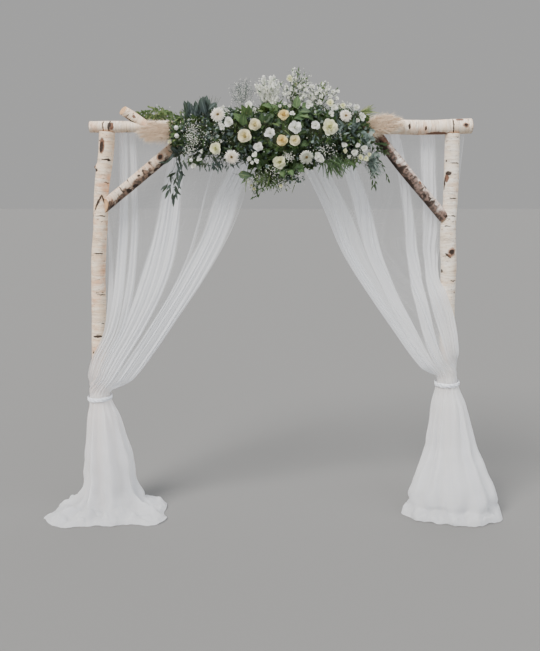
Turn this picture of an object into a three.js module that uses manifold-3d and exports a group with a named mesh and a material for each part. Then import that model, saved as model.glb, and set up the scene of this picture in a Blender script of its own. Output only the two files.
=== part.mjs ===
// Wooden wedding arch: two birch posts, a crossbeam with a fork stub, two braces,
// two tied drapes and the flower arrangement over the beam.
// Millimetres. X runs to the right, Y to the back, Z up; the ground is at Z = 0 and
// X = Y = 0 is the middle of the floor that the arch covers, cloth included.
import * as THREE from 'three';
import { mergeVertices } from 'three/addons/utils/BufferGeometryUtils.js';
import Module from 'manifold-3d';

const wasm = await Module();
wasm.setup();

// Driving dimensions
const beamLength = 1981;
const beamMiddleX = 36.5;
const beamHeight = 2046;
const beamRadiusLeft = 29.5;
const beamRadiusRight = 39.5;
const leftPostX = -929;
const rightPostX = 929;
const plateDiameter = 360;
const plateThickness = 10;
const gap = 0.3;
const logSides = 12;
const clothThickness = 8;

const vector = (x, y, z) => new THREE.Vector3(x, y, z);
const lerp = THREE.MathUtils.lerp;
const smooth = (t) => THREE.MathUtils.smoothstep(t, 0, 1);

// Finishes
const finish = (color, roughness, metalness = 0) => new THREE.MeshStandardMaterial({ color, roughness, metalness });
const finishes = {
  birch: finish(0xe2cdb6, 0.8),
  steel: finish(0x3b3d3f, 0.5, 0.8),
  voile: finish(0xe9edf2, 0.9),
  ribbon: finish(0xdfe4ea, 0.7),
  leaf: finish(0x4d6a48, 0.75),
  eucalyptus: finish(0x5c7478, 0.75),
  pampas: finish(0xc9ae93, 0.95),
  blossom: finish(0xf1efe4, 0.8),
  roseCream: finish(0xece3bd, 0.75),
  rosePeach: finish(0xe3bf92, 0.75),
  gerbera: finish(0xf3e6dc, 0.75),
};

// Solids: a geometry is reshaped point by point, then joined or cut as a closed solid.
function reshaped(geometry, place) {
  const plain = new THREE.BufferGeometry();
  plain.setAttribute('position', geometry.attributes.position.clone());
  if (geometry.index) plain.setIndex(geometry.index.clone());
  const position = plain.attributes.position;
  const point = new THREE.Vector3();
  for (let i = 0; i < position.count; i += 1) {
    const moved = place(point.fromBufferAttribute(position, i));
    position.setXYZ(i, moved.x, moved.y, moved.z);
  }
  return mergeVertices(plain, 1e-3);
}

function solid(geometry) {
  const mesh = new wasm.Mesh({
    numProp: 3,
    vertProperties: new Float32Array(geometry.attributes.position.array),
    triVerts: new Uint32Array(geometry.index.array),
  });
  return new wasm.Manifold(mesh);
}

// The largest piece of a solid, so that a cut leaves no loose chips.
function largest(body) {
  return body.decompose().reduce((best, piece) => (piece.volume() > best.volume() ? piece : best));
}

function cutBy(body, cutters) {
  return largest(cutters.reduce((rest, cutter) => rest.subtract(cutter), body));
}

function geometryOf(body) {
  const mesh = body.getMesh();
  const geometry = new THREE.BufferGeometry();
  geometry.setAttribute('position', new THREE.BufferAttribute(new Float32Array(mesh.vertProperties), 3));
  geometry.setIndex(new THREE.BufferAttribute(new Uint32Array(mesh.triVerts), 1));
  return geometry;
}

// The value at t of a list of numbers that are spread evenly from 0 to 1.
function spread(values, t) {
  const place = t * (values.length - 1);
  const index = Math.min(Math.floor(place), values.length - 2);
  return lerp(values[index], values[index + 1], place - index);
}

// Logs: a cylinder bent along a curve, its rings square to one fixed axis.
function log({ points, radii, axis, steps, grow = 0 }) {
  const curve = new THREE.CatmullRomCurve3(points);
  const across = Math.abs(axis.z) > 0.9 ? vector(1, 0, 0) : vector(0, 0, 1);
  const first = vector().crossVectors(across, axis).normalize();
  const second = vector().crossVectors(axis, first).normalize();
  const round = new THREE.CylinderGeometry(1, 1, 1, logSides, steps);
  return solid(reshaped(round, (p) => {
    const t = p.y + 0.5;
    const size = spread(radii, t) + grow;
    const turn = Math.atan2(p.z, p.x);
    const uneven = 1 + 0.025 * Math.sin(2 * turn + 7 * t);
    return curve.getPoint(t)
      .addScaledVector(second, p.x * size * uneven)
      .addScaledVector(first, p.z * size * uneven);
  }));
}

const beamEndX = { left: beamMiddleX - beamLength / 2, right: beamMiddleX + beamLength / 2 };

function beamLog(grow = 0) {
  return log({
    points: [
      vector(beamEndX.left, 0, beamHeight - 2), vector(-560, 0, beamHeight), vector(-160, 0, beamHeight + 1),
      vector(240, 0, beamHeight), vector(600, 0, beamHeight - 2), vector(800, 0, beamHeight - 5),
      vector(beamEndX.right, 0, beamHeight + 3),
    ],
    radii: [beamRadiusLeft, beamRadiusRight],
    axis: vector(1, 0, 0),
    steps: 14,
    grow,
  });
}

// The fork stub leaves the beam's front at a low angle and ends in a slanting saw cut.
const forkRoot = vector(-650, -6, beamHeight - 6);
const forkEnd = vector(-779, -12, 2127);
const forkRadius = 25;

function forkStub(grow = 0) {
  return log({
    points: [forkRoot, forkRoot.clone().lerp(forkEnd, 0.5).add(vector(0, 0, 2)), forkEnd],
    radii: [forkRadius + 2, forkRadius],
    axis: forkEnd.clone().sub(forkRoot).normalize(),
    steps: 3,
    grow,
  });
}

const crossbeam = beamLog().add(forkStub());
const crossbeamCutter = beamLog(gap).add(forkStub(gap));

// Posts stand on the foot plates and are saddled to the underside of the beam.
// Every row is [x, height, radius] of a natural log that sways and swells.
const postFoot = plateThickness + gap;
const postTop = 2028;
const leftPostRows = [[leftPostX, postFoot, 42], [-933, 300, 41], [-935, 600, 40], [-933, 850, 38], [-928, 1100, 37],
  [-927, 1300, 36.5], [-919, 1430, 36.5], [-911, 1520, 36], [-901, 1720, 37.5], [-875, 1900, 40], [-866, postTop, 41]];
const rightPostRows = [[rightPostX, postFoot, 42], [929, 300, 41.5], [929, 600, 41], [926, 920, 41], [922, 1100, 40.5],
  [924, 1250, 40.5], [925, 1330, 41], [919.5, 1430, 41.5], [919, 1520, 38.5], [926, 1620, 36], [929, 1720, 37.5],
  [930, 1900, 38], [931, postTop, 38]];

function post(rows, grow = 0) {
  const points = rows.map(([x, z]) => vector(x, 0, z));
  const radii = rows.map((row) => row[2]);
  return log({ points, radii, axis: vector(0, 0, 1), steps: 16, grow });
}

const postCutters = [post(leftPostRows, gap), post(rightPostRows, gap)];
const leftPost = cutBy(post(leftPostRows), [crossbeamCutter]);
const rightPost = cutBy(post(rightPostRows), [crossbeamCutter]);

// Braces run past both seats and are mitred to the post and the beam.
function brace(low, high, radii, grow = 0) {
  const axis = high.clone().sub(low).normalize();
  const bow = low.clone().lerp(high, 0.5).add(vector(0, 0, -5));
  return log({ points: [low, bow, high], radii, axis, steps: 4, grow });
}

const leftBraceEnds = [vector(-896, -14, 1625), vector(-412, -4, 2030)];
const rightBraceEnds = [vector(897, -6, 1572), vector(535, -4, 2004)];
const leftBraceRadii = [31.5, 31];
const rightBraceRadii = [30, 28.5];
const braceCutters = [brace(...leftBraceEnds, leftBraceRadii, gap), brace(...rightBraceEnds, rightBraceRadii, gap)];
const leftBrace = cutBy(brace(...leftBraceEnds, leftBraceRadii), [crossbeamCutter, ...postCutters]);
const rightBrace = cutBy(brace(...rightBraceEnds, rightBraceRadii), [crossbeamCutter, ...postCutters]);

// Foot plates: plain round steel discs under the cloth.
function footPlate(x) {
  const disc = new THREE.CylinderGeometry(plateDiameter / 2, plateDiameter / 2, plateThickness, 24);
  return solid(reshaped(disc, (p) => vector(x + p.x, -p.z, p.y + plateThickness / 2)));
}

// Drapes. The upper part is a sheet of pleats between an outer and an inner edge; its rows
// bow to the front near the waist, where the cloth wraps the post.
function alongEdge(points, t) {
  return new THREE.CatmullRomCurve3(points.map(([x, y, z]) => vector(x, y, z))).getPoint(t);
}

function sheet({ outer, inner, bow, mirrored, grow = 0 }) {
  const columns = 12;
  const rows = 11;
  const slab = new THREE.BoxGeometry(1, 1, 1, columns, 1, rows);
  return solid(reshaped(slab, (p) => {
    const u = p.x + 0.5;
    const v = 0.5 - p.z;
    const from = alongEdge(outer, v);
    const to = alongEdge(inner, v);
    const forward = bow * smooth((v - 0.45) / 0.55);
    const middle = from.clone().lerp(to, 0.5).add(vector(0, -forward, 0));
    const row = new THREE.QuadraticBezierCurve3(from, middle, to);
    const place = row.getPoint(mirrored ? 1 - u : u);
    const pleat = 7 * Math.sin(u * columns * Math.PI) * smooth(3 * v) * (1 - 0.6 * v);
    const thickness = lerp(clothThickness, 2.2 * clothThickness, smooth(v)) + 2 * grow;
    return place.add(vector(0, pleat + p.y * thickness, 0));
  }));
}

// The lower part is a hollow skirt round the post that spreads into a puddle over the plate.
// Every profile row is [share of the skirt radius, share of the puddle radius, own radius, height].
// The flare is how far the cone leans out to the puddle before it meets the ground.
function skirt({ centreX, waistHeight, waistRadius, skirtRadius, puddleRadius, flare }) {
  const wall = clothThickness;
  const clear = plateDiameter / 2 + 6;
  const outward = (share) => [(1 - share) * (1 - flare), 1 - (1 - share) * (1 - flare)];
  const profile = [
    [0, 0, waistRadius, waistHeight + 14],
    [0, 0, waistRadius, waistHeight - 12],
    [0.36, 0, 0.6 * waistRadius, 0.84 * waistHeight],
    [0.85, 0, 8, 0.48 * waistHeight],
    [...outward(0), 0, 0.2 * waistHeight],
    [...outward(0.1), 10, 76],
    [...outward(0.45), 0, 44],
    [...outward(0.85), 0, 30],
    [0, 1, 0, 10],
    [0, 0.98, 0, 0],
    [0, 0, clear, 0],
    [0, 0, clear - 3, plateThickness + 2],
    [1, 0, -wall, plateThickness + 6],
    [1, 0, -wall, 0.2 * waistHeight],
    [0.85, 0, 8 - wall, 0.48 * waistHeight],
    [0.36, 0, 0.6 * waistRadius - wall, 0.82 * waistHeight],
    [0, 0, waistRadius - wall, waistHeight],
    [0, 0, waistRadius - wall, waistHeight + 14],
  ];
  const outline = profile.map((row, i) => new THREE.Vector2(1, i));
  outline.push(outline[0].clone());
  const ring = new THREE.LatheGeometry(outline, 24);
  return solid(reshaped(ring, (p) => {
    const turn = Math.atan2(p.z, p.x);
    const [ofSkirt, ofPuddle, own, height] = profile[Math.round(p.y)];
    const fold = 1 + 0.07 * Math.sin(9 * turn) * ofSkirt;
    const radius = (skirtRadius(turn) * ofSkirt * fold) + puddleRadius(turn) * ofPuddle + own;
    return vector(centreX + radius * Math.cos(turn), radius * Math.sin(turn), height);
  }));
}

// A closed loop of radii: a cosine blend between values at evenly spread angles from +X round by the back.
function lobes(values) {
  return (turn) => {
    const place = ((turn / (2 * Math.PI)) * values.length + values.length) % values.length;
    const index = Math.floor(place);
    return lerp(values[index], values[(index + 1) % values.length], smooth(place - index));
  };
}

function tie(x, height, radius, grow = 0) {
  const half = { out: 4 + grow, up: 8 + grow };
  const band = [
    new THREE.Vector2(radius - half.out, height - half.up),
    new THREE.Vector2(radius + half.out, height - half.up),
    new THREE.Vector2(radius + half.out, height + half.up),
    new THREE.Vector2(radius - half.out, height + half.up),
    new THREE.Vector2(radius - half.out, height - half.up),
  ];
  return solid(reshaped(new THREE.LatheGeometry(band, 16), (p) => vector(x + p.x, -p.z, p.y)));
}

const waist = {
  left: { x: -932, height: 612, radius: 57 },
  right: { x: 929, height: 690, radius: 57 },
};

const drapeShapes = {
  left: {
    outer: [[-914, 41, 2050], [-905, 50, 1760], [-884, 50, 1480], [-876, 14, 1260], [-878, -38, 1080],
      [-896, -54, 965], [-962, -54, 820], [-988, -30, 700], [-990, 6, 606]],
    inner: [[14, 41, 2050], [-60, 46, 1900], [-138, 50, 1740], [-192, 46, 1580], [-262, 36, 1430], [-380, 16, 1230],
      [-505, 0, 1045], [-620, -14, 875], [-730, -26, 730], [-812, -12, 655], [-873, 6, 606]],
    bow: 76,
  },
  right: {
    outer: [[1009, 44, 2050], [996, 50, 1892], [982, 56, 1740], [936, 62, 1540], [886, 54, 1390],
      [874, 14, 1290], [902, -46, 1190], [948, -54, 1050], [974, -46, 900], [984, -20, 790], [988, 6, 684]],
    inner: [[62, 41, 2050], [181, 48, 1795], [262, 49, 1630], [368, 37, 1385], [516, 12, 1148],
      [632, -8, 982], [728, -26, 845], [812, -22, 745], [870, 6, 684]],
    bow: 76,
  },
};

const skirtShapes = {
  left: {
    skirtRadius: lobes([186, 165, 112, 92, 84, 88, 112, 165]),
    puddleRadius: lobes([350, 250, 236, 250, 246, 206, 212, 318, 306, 246, 280, 405]),
    flare: 0.06,
  },
  right: {
    skirtRadius: lobes([185, 165, 130, 110, 114, 112, 126, 165]),
    puddleRadius: lobes([260, 304, 290, 250, 236, 200, 212, 272, 236, 240, 285, 318]),
    flare: 0.6,
  },
};

function drape(side, cutters) {
  const { x, height, radius } = waist[side];
  const upper = sheet({ ...drapeShapes[side], mirrored: side === 'right' });
  const lower = skirt({ centreX: x, waistHeight: height, waistRadius: radius, ...skirtShapes[side] });
  return cutBy(upper.add(lower), [...cutters, tie(x, height, radius, gap)]);
}

const timberCutters = [crossbeamCutter, ...postCutters, ...braceCutters];
const leftDrape = drape('left', timberCutters);
const rightDrape = drape('right', timberCutters);

// Greenery masses: a sphere pulled to an uneven ellipsoid.
const massWaves = 0.1;

function mass({ centre, size, turn = 0, detail = 3, grow = 0 }) {
  const ball = new THREE.IcosahedronGeometry(1, detail);
  const lean = new THREE.Quaternion().setFromAxisAngle(vector(0, 1, 0), turn);
  return solid(reshaped(ball, (p) => {
    const bumps = Math.sin(5.1 * p.x + 1.7) * Math.sin(4.3 * p.z + 0.6) + 0.5 * Math.sin(9 * p.x - 5 * p.z);
    const swell = 1 + massWaves * bumps;
    return vector(p.x * (size[0] + grow), p.y * (size[1] + grow), p.z * (size[2] + grow))
      .multiplyScalar(swell)
      .applyQuaternion(lean)
      .add(vector(...centre));
  }));
}

// Flower heads: a turned profile on a short stem, facing out of the arrangement.
const stemLength = 70;
const stemRadius = 4.5;
const headProfiles = {
  rose: [[0.55, -0.45], [0.92, -0.1], [1, 0.2], [0.78, 0.5], [0.4, 0.58], [0, 0.5]],
  gerbera: [[0.4, -0.3], [0.96, -0.05], [1, 0.08], [0.5, 0.12], [0.26, 0.2], [0, 0.2]],
  blossom: [[0.7, -0.3], [1, 0.05], [0.75, 0.4], [0, 0.5]],
};

function head({ kind, place, diameter, facing }, grow = 0) {
  const radius = diameter / 2 + grow;
  const stem = [[0, -stemLength - grow], [stemRadius + grow, -stemLength - grow], [stemRadius + grow, -radius / 2]];
  const petals = headProfiles[kind].map(([r, z]) => [r * radius, z * radius]);
  const profile = [...stem, ...petals].map(([r, z]) => new THREE.Vector2(r, z));
  const turn = new THREE.Quaternion().setFromUnitVectors(vector(0, 1, 0), vector(...facing).normalize());
  const sides = diameter > 60 ? 9 : 8;
  return solid(reshaped(new THREE.LatheGeometry(profile, sides), (p) => {
    return p.applyQuaternion(turn).add(vector(...place));
  }));
}

const heads = {
  gerbera_low_left: { kind: 'gerbera', place: [-207, -200, 1877], diameter: 82, facing: [-0.25, -1, -0.15], look: 'gerbera' },
  gerbera_upper_left: { kind: 'gerbera', place: [-276, -172, 2084], diameter: 86, facing: [-0.35, -1, 0.15], look: 'gerbera' },
  gerbera_low_right: { kind: 'gerbera', place: [159, -200, 1875], diameter: 80, facing: [0.2, -1, -0.2], look: 'gerbera' },
  gerbera_right: { kind: 'gerbera', place: [356, -160, 2080], diameter: 72, facing: [0.3, -1, 0.3], look: 'gerbera' },
  rose_left: { kind: 'rose', place: [-287, -172, 1917], diameter: 68, facing: [-0.4, -1, 0], look: 'roseCream' },
  rose_cream_left: { kind: 'rose', place: [-143, -204, 1977], diameter: 74, facing: [-0.15, -1, 0.05], look: 'roseCream' },
  rose_cream_upper: { kind: 'rose', place: [-94, -190, 2032], diameter: 68, facing: [0, -1, 0.3], look: 'roseCream' },
  rose_peach: { kind: 'rose', place: [48, -186, 2082], diameter: 60, facing: [0, -1, 0.4], look: 'rosePeach' },
  rose_pair_left: { kind: 'rose', place: [41, -212, 1956], diameter: 58, facing: [-0.1, -1, 0], look: 'rosePeach' },
  rose_pair_right: { kind: 'rose', place: [102, -212, 1956], diameter: 58, facing: [0.1, -1, 0], look: 'roseCream' },
  rose_low: { kind: 'rose', place: [29, -204, 1853], diameter: 70, facing: [0, -1, -0.2], look: 'roseCream' },
  rose_right: { kind: 'rose', place: [273, -194, 2022], diameter: 86, facing: [0.25, -1, 0.15], look: 'roseCream' },
  ruffled_white: { kind: 'rose', place: [103, -212, 2020], diameter: 66, facing: [0, -1, 0.15], look: 'blossom' },
  white_left: { kind: 'blossom', place: [-222, -184, 2050], diameter: 56, facing: [-0.2, -1, 0.1], look: 'blossom' },
  white_centre: { kind: 'blossom', place: [-78, -200, 1928], diameter: 50, facing: [0, -1, 0], look: 'blossom' },
  white_bud: { kind: 'rose', place: [-20, -210, 1992], diameter: 56, facing: [0, -1, 0.1], look: 'blossom' },
  white_right: { kind: 'blossom', place: [205, -200, 2030], diameter: 50, facing: [0.1, -1, 0.1], look: 'blossom' },
  white_low_right: { kind: 'blossom', place: [225, -192, 1872], diameter: 46, facing: [0.3, -1, -0.1], look: 'blossom' },
};

const headCutters = Object.values(heads).map((flower) => head(flower, gap));

const masses = {
  centre: { centre: [20, -92, 1938], size: [178, 112, 228] },
  left: { centre: [-352, -74, 2008], size: [198, 104, 150] },
  middleLeft: { centre: [-160, -84, 1990], size: [150, 108, 168] },
  right: { centre: [345, -76, 2002], size: [160, 100, 152] },
  middleRight: { centre: [205, -86, 1990], size: [120, 108, 168] },
};
const massCutters = Object.values(masses).map((shape) => mass({ ...shape, grow: gap }));
const drapeCutters = ['left', 'right'].map((side) => sheet({ ...drapeShapes[side], mirrored: side === 'right', grow: gap }));
const foliageCutters = [...timberCutters, ...headCutters, ...drapeCutters];

// Plumes, tall sprays and hanging sprigs, each cut clear of what is placed before it.
const sprays = {
  pampas_left: { centre: [-622, -78, 2012], size: [108, 40, 76], turn: 0.12, look: 'pampas' },
  pampas_right: { centre: [597, -52, 2054], size: [98, 44, 58], turn: 0.02, look: 'pampas' },
  eucalyptus_upright: { centre: [-335, -62, 2160], size: [120, 50, 62], look: 'eucalyptus' },
  gypsophila_spray: { centre: [-160, -50, 2190], size: [68, 46, 98], look: 'blossom' },
  larkspur_spray: { centre: [-34, -58, 2205], size: [80, 46, 92], look: 'blossom' },
  white_rose_spray: { centre: [102, -52, 2232], size: [84, 46, 108], look: 'blossom' },
  blossom_spray_right: { centre: [236, -54, 2196], size: [92, 44, 84], look: 'blossom' },
  trailing_greens_left: { centre: [-628, 22, 2112], size: [94, 26, 48], look: 'leaf' },
  hanging_sprig_left: { centre: [-506, -100, 1800], size: [40, 26, 142], turn: 0.2, look: 'eucalyptus' },
  hanging_sprig_right: { centre: [540, -84, 1838], size: [32, 24, 146], turn: -0.42, look: 'leaf' },
};

const group = new THREE.Group();

function addPart(name, body, look) {
  const mesh = new THREE.Mesh(geometryOf(body), finishes[look]);
  mesh.name = name;
  group.add(mesh);
}

addPart('left_post', leftPost, 'birch');
addPart('right_post', rightPost, 'birch');
addPart('crossbeam', crossbeam, 'birch');
addPart('left_brace', leftBrace, 'birch');
addPart('right_brace', rightBrace, 'birch');
addPart('left_base_plate', footPlate(leftPostX), 'steel');
addPart('right_base_plate', footPlate(rightPostX), 'steel');
addPart('left_drape', leftDrape, 'voile');
addPart('right_drape', rightDrape, 'voile');
for (const side of ['left', 'right']) {
  const { x, height, radius } = waist[side];
  addPart(`${side}_drape_tie`, tie(x, height, radius), 'ribbon');
}
for (const [name, flower] of Object.entries(heads)) addPart(name, head(flower), flower.look);

const centreCutter = massCutters[0];
addPart('foliage_centre', cutBy(mass(masses.centre), foliageCutters), 'leaf');
addPart('foliage_left', cutBy(mass(masses.left).add(mass(masses.middleLeft)), [centreCutter, ...foliageCutters]), 'leaf');
addPart('foliage_right', cutBy(mass(masses.right).add(mass(masses.middleRight)), [centreCutter, ...foliageCutters]), 'leaf');

const placed = [...foliageCutters, ...massCutters];
for (const [name, { look, ...shape }] of Object.entries(sprays)) {
  addPart(name, cutBy(mass({ ...shape, detail: 2 }), placed), look);
  placed.push(mass({ ...shape, detail: 2, grow: gap }));
}

export default group;
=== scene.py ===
"""Wooden wedding arch: birch logs, tied sheer drapes and the flowers over the beam."""
import logging
import math
from collections.abc import Callable, Sequence
from dataclasses import dataclass, replace
from enum import Enum
from typing import ClassVar

import bpy
import numpy as np
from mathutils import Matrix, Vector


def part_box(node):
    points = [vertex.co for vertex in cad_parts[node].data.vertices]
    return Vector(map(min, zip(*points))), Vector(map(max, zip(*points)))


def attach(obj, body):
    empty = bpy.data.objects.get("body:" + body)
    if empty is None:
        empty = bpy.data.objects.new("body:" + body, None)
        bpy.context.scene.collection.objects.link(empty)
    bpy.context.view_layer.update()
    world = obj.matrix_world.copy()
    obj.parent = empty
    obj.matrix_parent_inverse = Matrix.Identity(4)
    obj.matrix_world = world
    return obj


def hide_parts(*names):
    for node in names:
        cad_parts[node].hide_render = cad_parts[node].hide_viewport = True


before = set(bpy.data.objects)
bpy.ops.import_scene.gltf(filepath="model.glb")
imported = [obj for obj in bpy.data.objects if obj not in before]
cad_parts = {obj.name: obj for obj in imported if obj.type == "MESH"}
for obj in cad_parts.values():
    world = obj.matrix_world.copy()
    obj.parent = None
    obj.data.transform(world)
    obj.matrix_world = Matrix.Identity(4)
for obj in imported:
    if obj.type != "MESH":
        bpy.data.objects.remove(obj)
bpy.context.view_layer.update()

log = logging.getLogger("arch")
MM = 0.001
BODY = "root"
Array = np.ndarray
Draws = np.random.Generator
Finish = bpy.types.Material
Pair = tuple[float, float]
Place = Colour = tuple[float, float, float]
Spot = tuple[float, float, float, float]
GOLDEN_TURN = 2.39996


# Numbers and curves

def ease(t: Array | float) -> Array:
    """A smooth step from 0 to 1 as t goes from 0 to 1."""
    t = np.clip(t, 0.0, 1.0)
    return t * t * (3 - 2 * t)


def between(a: Array, b: Array, t: Array | float) -> Array:
    """The value a share t of the way from a to b."""
    return a + (b - a) * t


def unit(vectors: Array) -> Array:
    """The same directions with length 1."""
    return vectors / np.maximum(np.linalg.norm(vectors, axis=-1, keepdims=True), 1e-9)


def spline(points: Sequence[Sequence[float]], t: Array) -> Array:
    """A smooth curve through points.

    Args:
        points: rows of coordinates.
        t: places, 0 at the first point and 1 at the last.

    Returns:
        Coordinates for each place.
    """
    given = np.asarray(points, float)
    p = np.vstack([2 * given[0] - given[1], given, 2 * given[-1] - given[-2]])
    place = np.clip(np.asarray(t, float), 0, 1) * (len(p) - 3)
    i = np.minimum(place.astype(int), len(p) - 4)
    w = (place - i)[..., None]
    p0, p1, p2, p3 = (p[i + k] for k in range(4))
    pairs = ((p0, p1), (p1, p2), (p2, p3))
    d0, d1, d2 = (np.linalg.norm(b - a, axis=-1, keepdims=True) ** 0.5 for a, b in pairs)
    leave = ((p1 - p0) / d0 - (p2 - p0) / (d0 + d1) + (p2 - p1) / d1) * d1
    arrive = ((p2 - p1) / d1 - (p3 - p1) / (d1 + d2) + (p3 - p2) / d2) * d1
    square = (3 * (p2 - p1) - 2 * leave - arrive) * w**2
    cube = (2 * (p1 - p2) + leave + arrive) * w**3
    return p1 + leave * w + square + cube


def softened(values: Array, reach: int) -> Array:
    """Running means of a row of values over reach neighbours on each side."""
    padded = np.concatenate([np.full(reach, values[0]), values, np.full(reach, values[-1])])
    return np.convolve(padded, np.full(2 * reach + 1, 1 / (2 * reach + 1)), "valid")


def loop_values(values: Sequence[float], turn: Array) -> Array:
    """A closed loop of values, eased from one to the next.

    Args:
        values: at evenly spread angles, from +X round by the back.
        turn: angles in radians.

    Returns:
        The value at each angle.
    """
    given = np.asarray(values, float)
    place = (turn / (2 * np.pi) * len(given)) % len(given)
    i = np.floor(place).astype(int)
    return between(given[i % len(given)], given[(i + 1) % len(given)], ease(place - i))


class Ripple:
    """Smooth seeded unevenness of about -1 to 1: sine waves in many directions."""

    def __init__(self, seed: int, size: float, waves: int = 9) -> None:
        """Draw the waves.

        Args:
            seed: of the random draws.
            size: typical wavelength.
            waves: how many.
        """
        draws = np.random.default_rng(seed)
        reach = 2 * np.pi / size * draws.uniform(0.6, 1.6, (waves, 1))
        self.pull = unit(draws.normal(size=(waves, 3))) * reach
        self.start = draws.uniform(0, 2 * np.pi, waves)

    def at(self, points: Array) -> Array:
        """The unevenness at each point."""
        waves = np.sin(points @ self.pull.T + self.start)
        return waves.sum(-1) / math.sqrt(2 * len(self.start))


def aimed(direction: Array, roll: Array | float = 0.0) -> Array:
    """Turns that point the local Z axis along directions.

    Args:
        direction: one a row.
        roll: turn about it, in radians.

    Returns:
        A matrix for each.
    """
    d = unit(np.atleast_2d(np.asarray(direction, float)))
    up = np.where(np.abs(d[:, 2:]) > 0.95, [[1.0, 0.0, 0.0]], [[0.0, 0.0, 1.0]])
    side = unit(np.cross(up, d))
    other = np.cross(d, side)
    c = np.cos(np.broadcast_to(roll, len(d)))[:, None]
    s = np.sin(np.broadcast_to(roll, len(d)))[:, None]
    across = side * c + other * s
    return np.stack([across, np.cross(d, across), d], axis=-1)


def grid_faces(rows: int, columns: int, closed: bool = False) -> Array:
    """Quads over a grid of points.

    Args:
        rows: rows of points.
        columns: points in a row.
        closed: whether each row is a loop.

    Returns:
        Four point numbers a face.
    """
    row = np.arange(rows - 1)[:, None] * columns
    column = np.arange(columns if closed else columns - 1)[None, :]
    following = (column + 1) % columns
    corners = [row + column, row + following, row + following + columns, row + column + columns]
    return np.stack(corners, -1).reshape(-1, 4)


def polar(radius: Array, turn: Array) -> tuple[Array, Array]:
    """The X and Y of places given by radius and angle."""
    return radius * np.cos(turn), radius * np.sin(turn)


def box_of(node: str) -> Array:
    """The lowest and the highest corner of a solid."""
    return np.array(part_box(node))


# Meshes

@dataclass(frozen=True)
class Template:
    """A small shape that is stamped many times; marks go to the finish as a vector."""

    points: Array
    faces: Array
    marks: Array

    @classmethod
    def of(cls, x: Array, y: Array, z: Array, across: Array, run: Array,
           tint: Array | float, closed: bool = False) -> "Template":
        """A grid of points, row by row.

        Args:
            x, y, z: coordinates.
            across, run, tint: marks.
            closed: whether each row is a loop.

        Returns:
            The grid.
        """
        grid = np.stack(np.broadcast_arrays(x, y, z), -1)
        marks = np.stack(np.broadcast_arrays(across, run, tint, grid[..., 0])[:3], -1)
        return cls(grid.reshape(-1, 3), grid_faces(*grid.shape[:2], closed=closed), marks.reshape(-1, 3))

    def joined(self, other: "Template") -> "Template":
        """This shape and another as one."""
        faces = np.vstack([self.faces, other.faces + len(self.points)])
        return Template(np.vstack([self.points, other.points]), faces, np.vstack([self.marks, other.marks]))

    def copies(self, turns: Array, places: Array, sizes: Array | float = 1.0,
               tints: Array | float = 0.0) -> "Template":
        """Copies of this shape as one.

        Args:
            turns: a matrix a copy.
            places: where the copies go.
            sizes: their sizes.
            tints: shade of each, added to the third mark.

        Returns:
            All of them.
        """
        places = np.atleast_2d(places)
        amount = len(places)
        turned = np.einsum("mij,nj->mni", np.broadcast_to(turns, (amount, 3, 3)), self.points)
        points = turned * np.broadcast_to(sizes, amount)[:, None, None] + places[:, None]
        faces = self.faces[None] + (np.arange(amount) * len(self.points))[:, None, None]
        marks = np.repeat(self.marks[None], amount, 0)
        marks[..., 2] += np.broadcast_to(tints, amount)[:, None]
        return Template(points.reshape(-1, 3), faces.reshape(-1, self.faces.shape[1]), marks.reshape(-1, 3))


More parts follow.
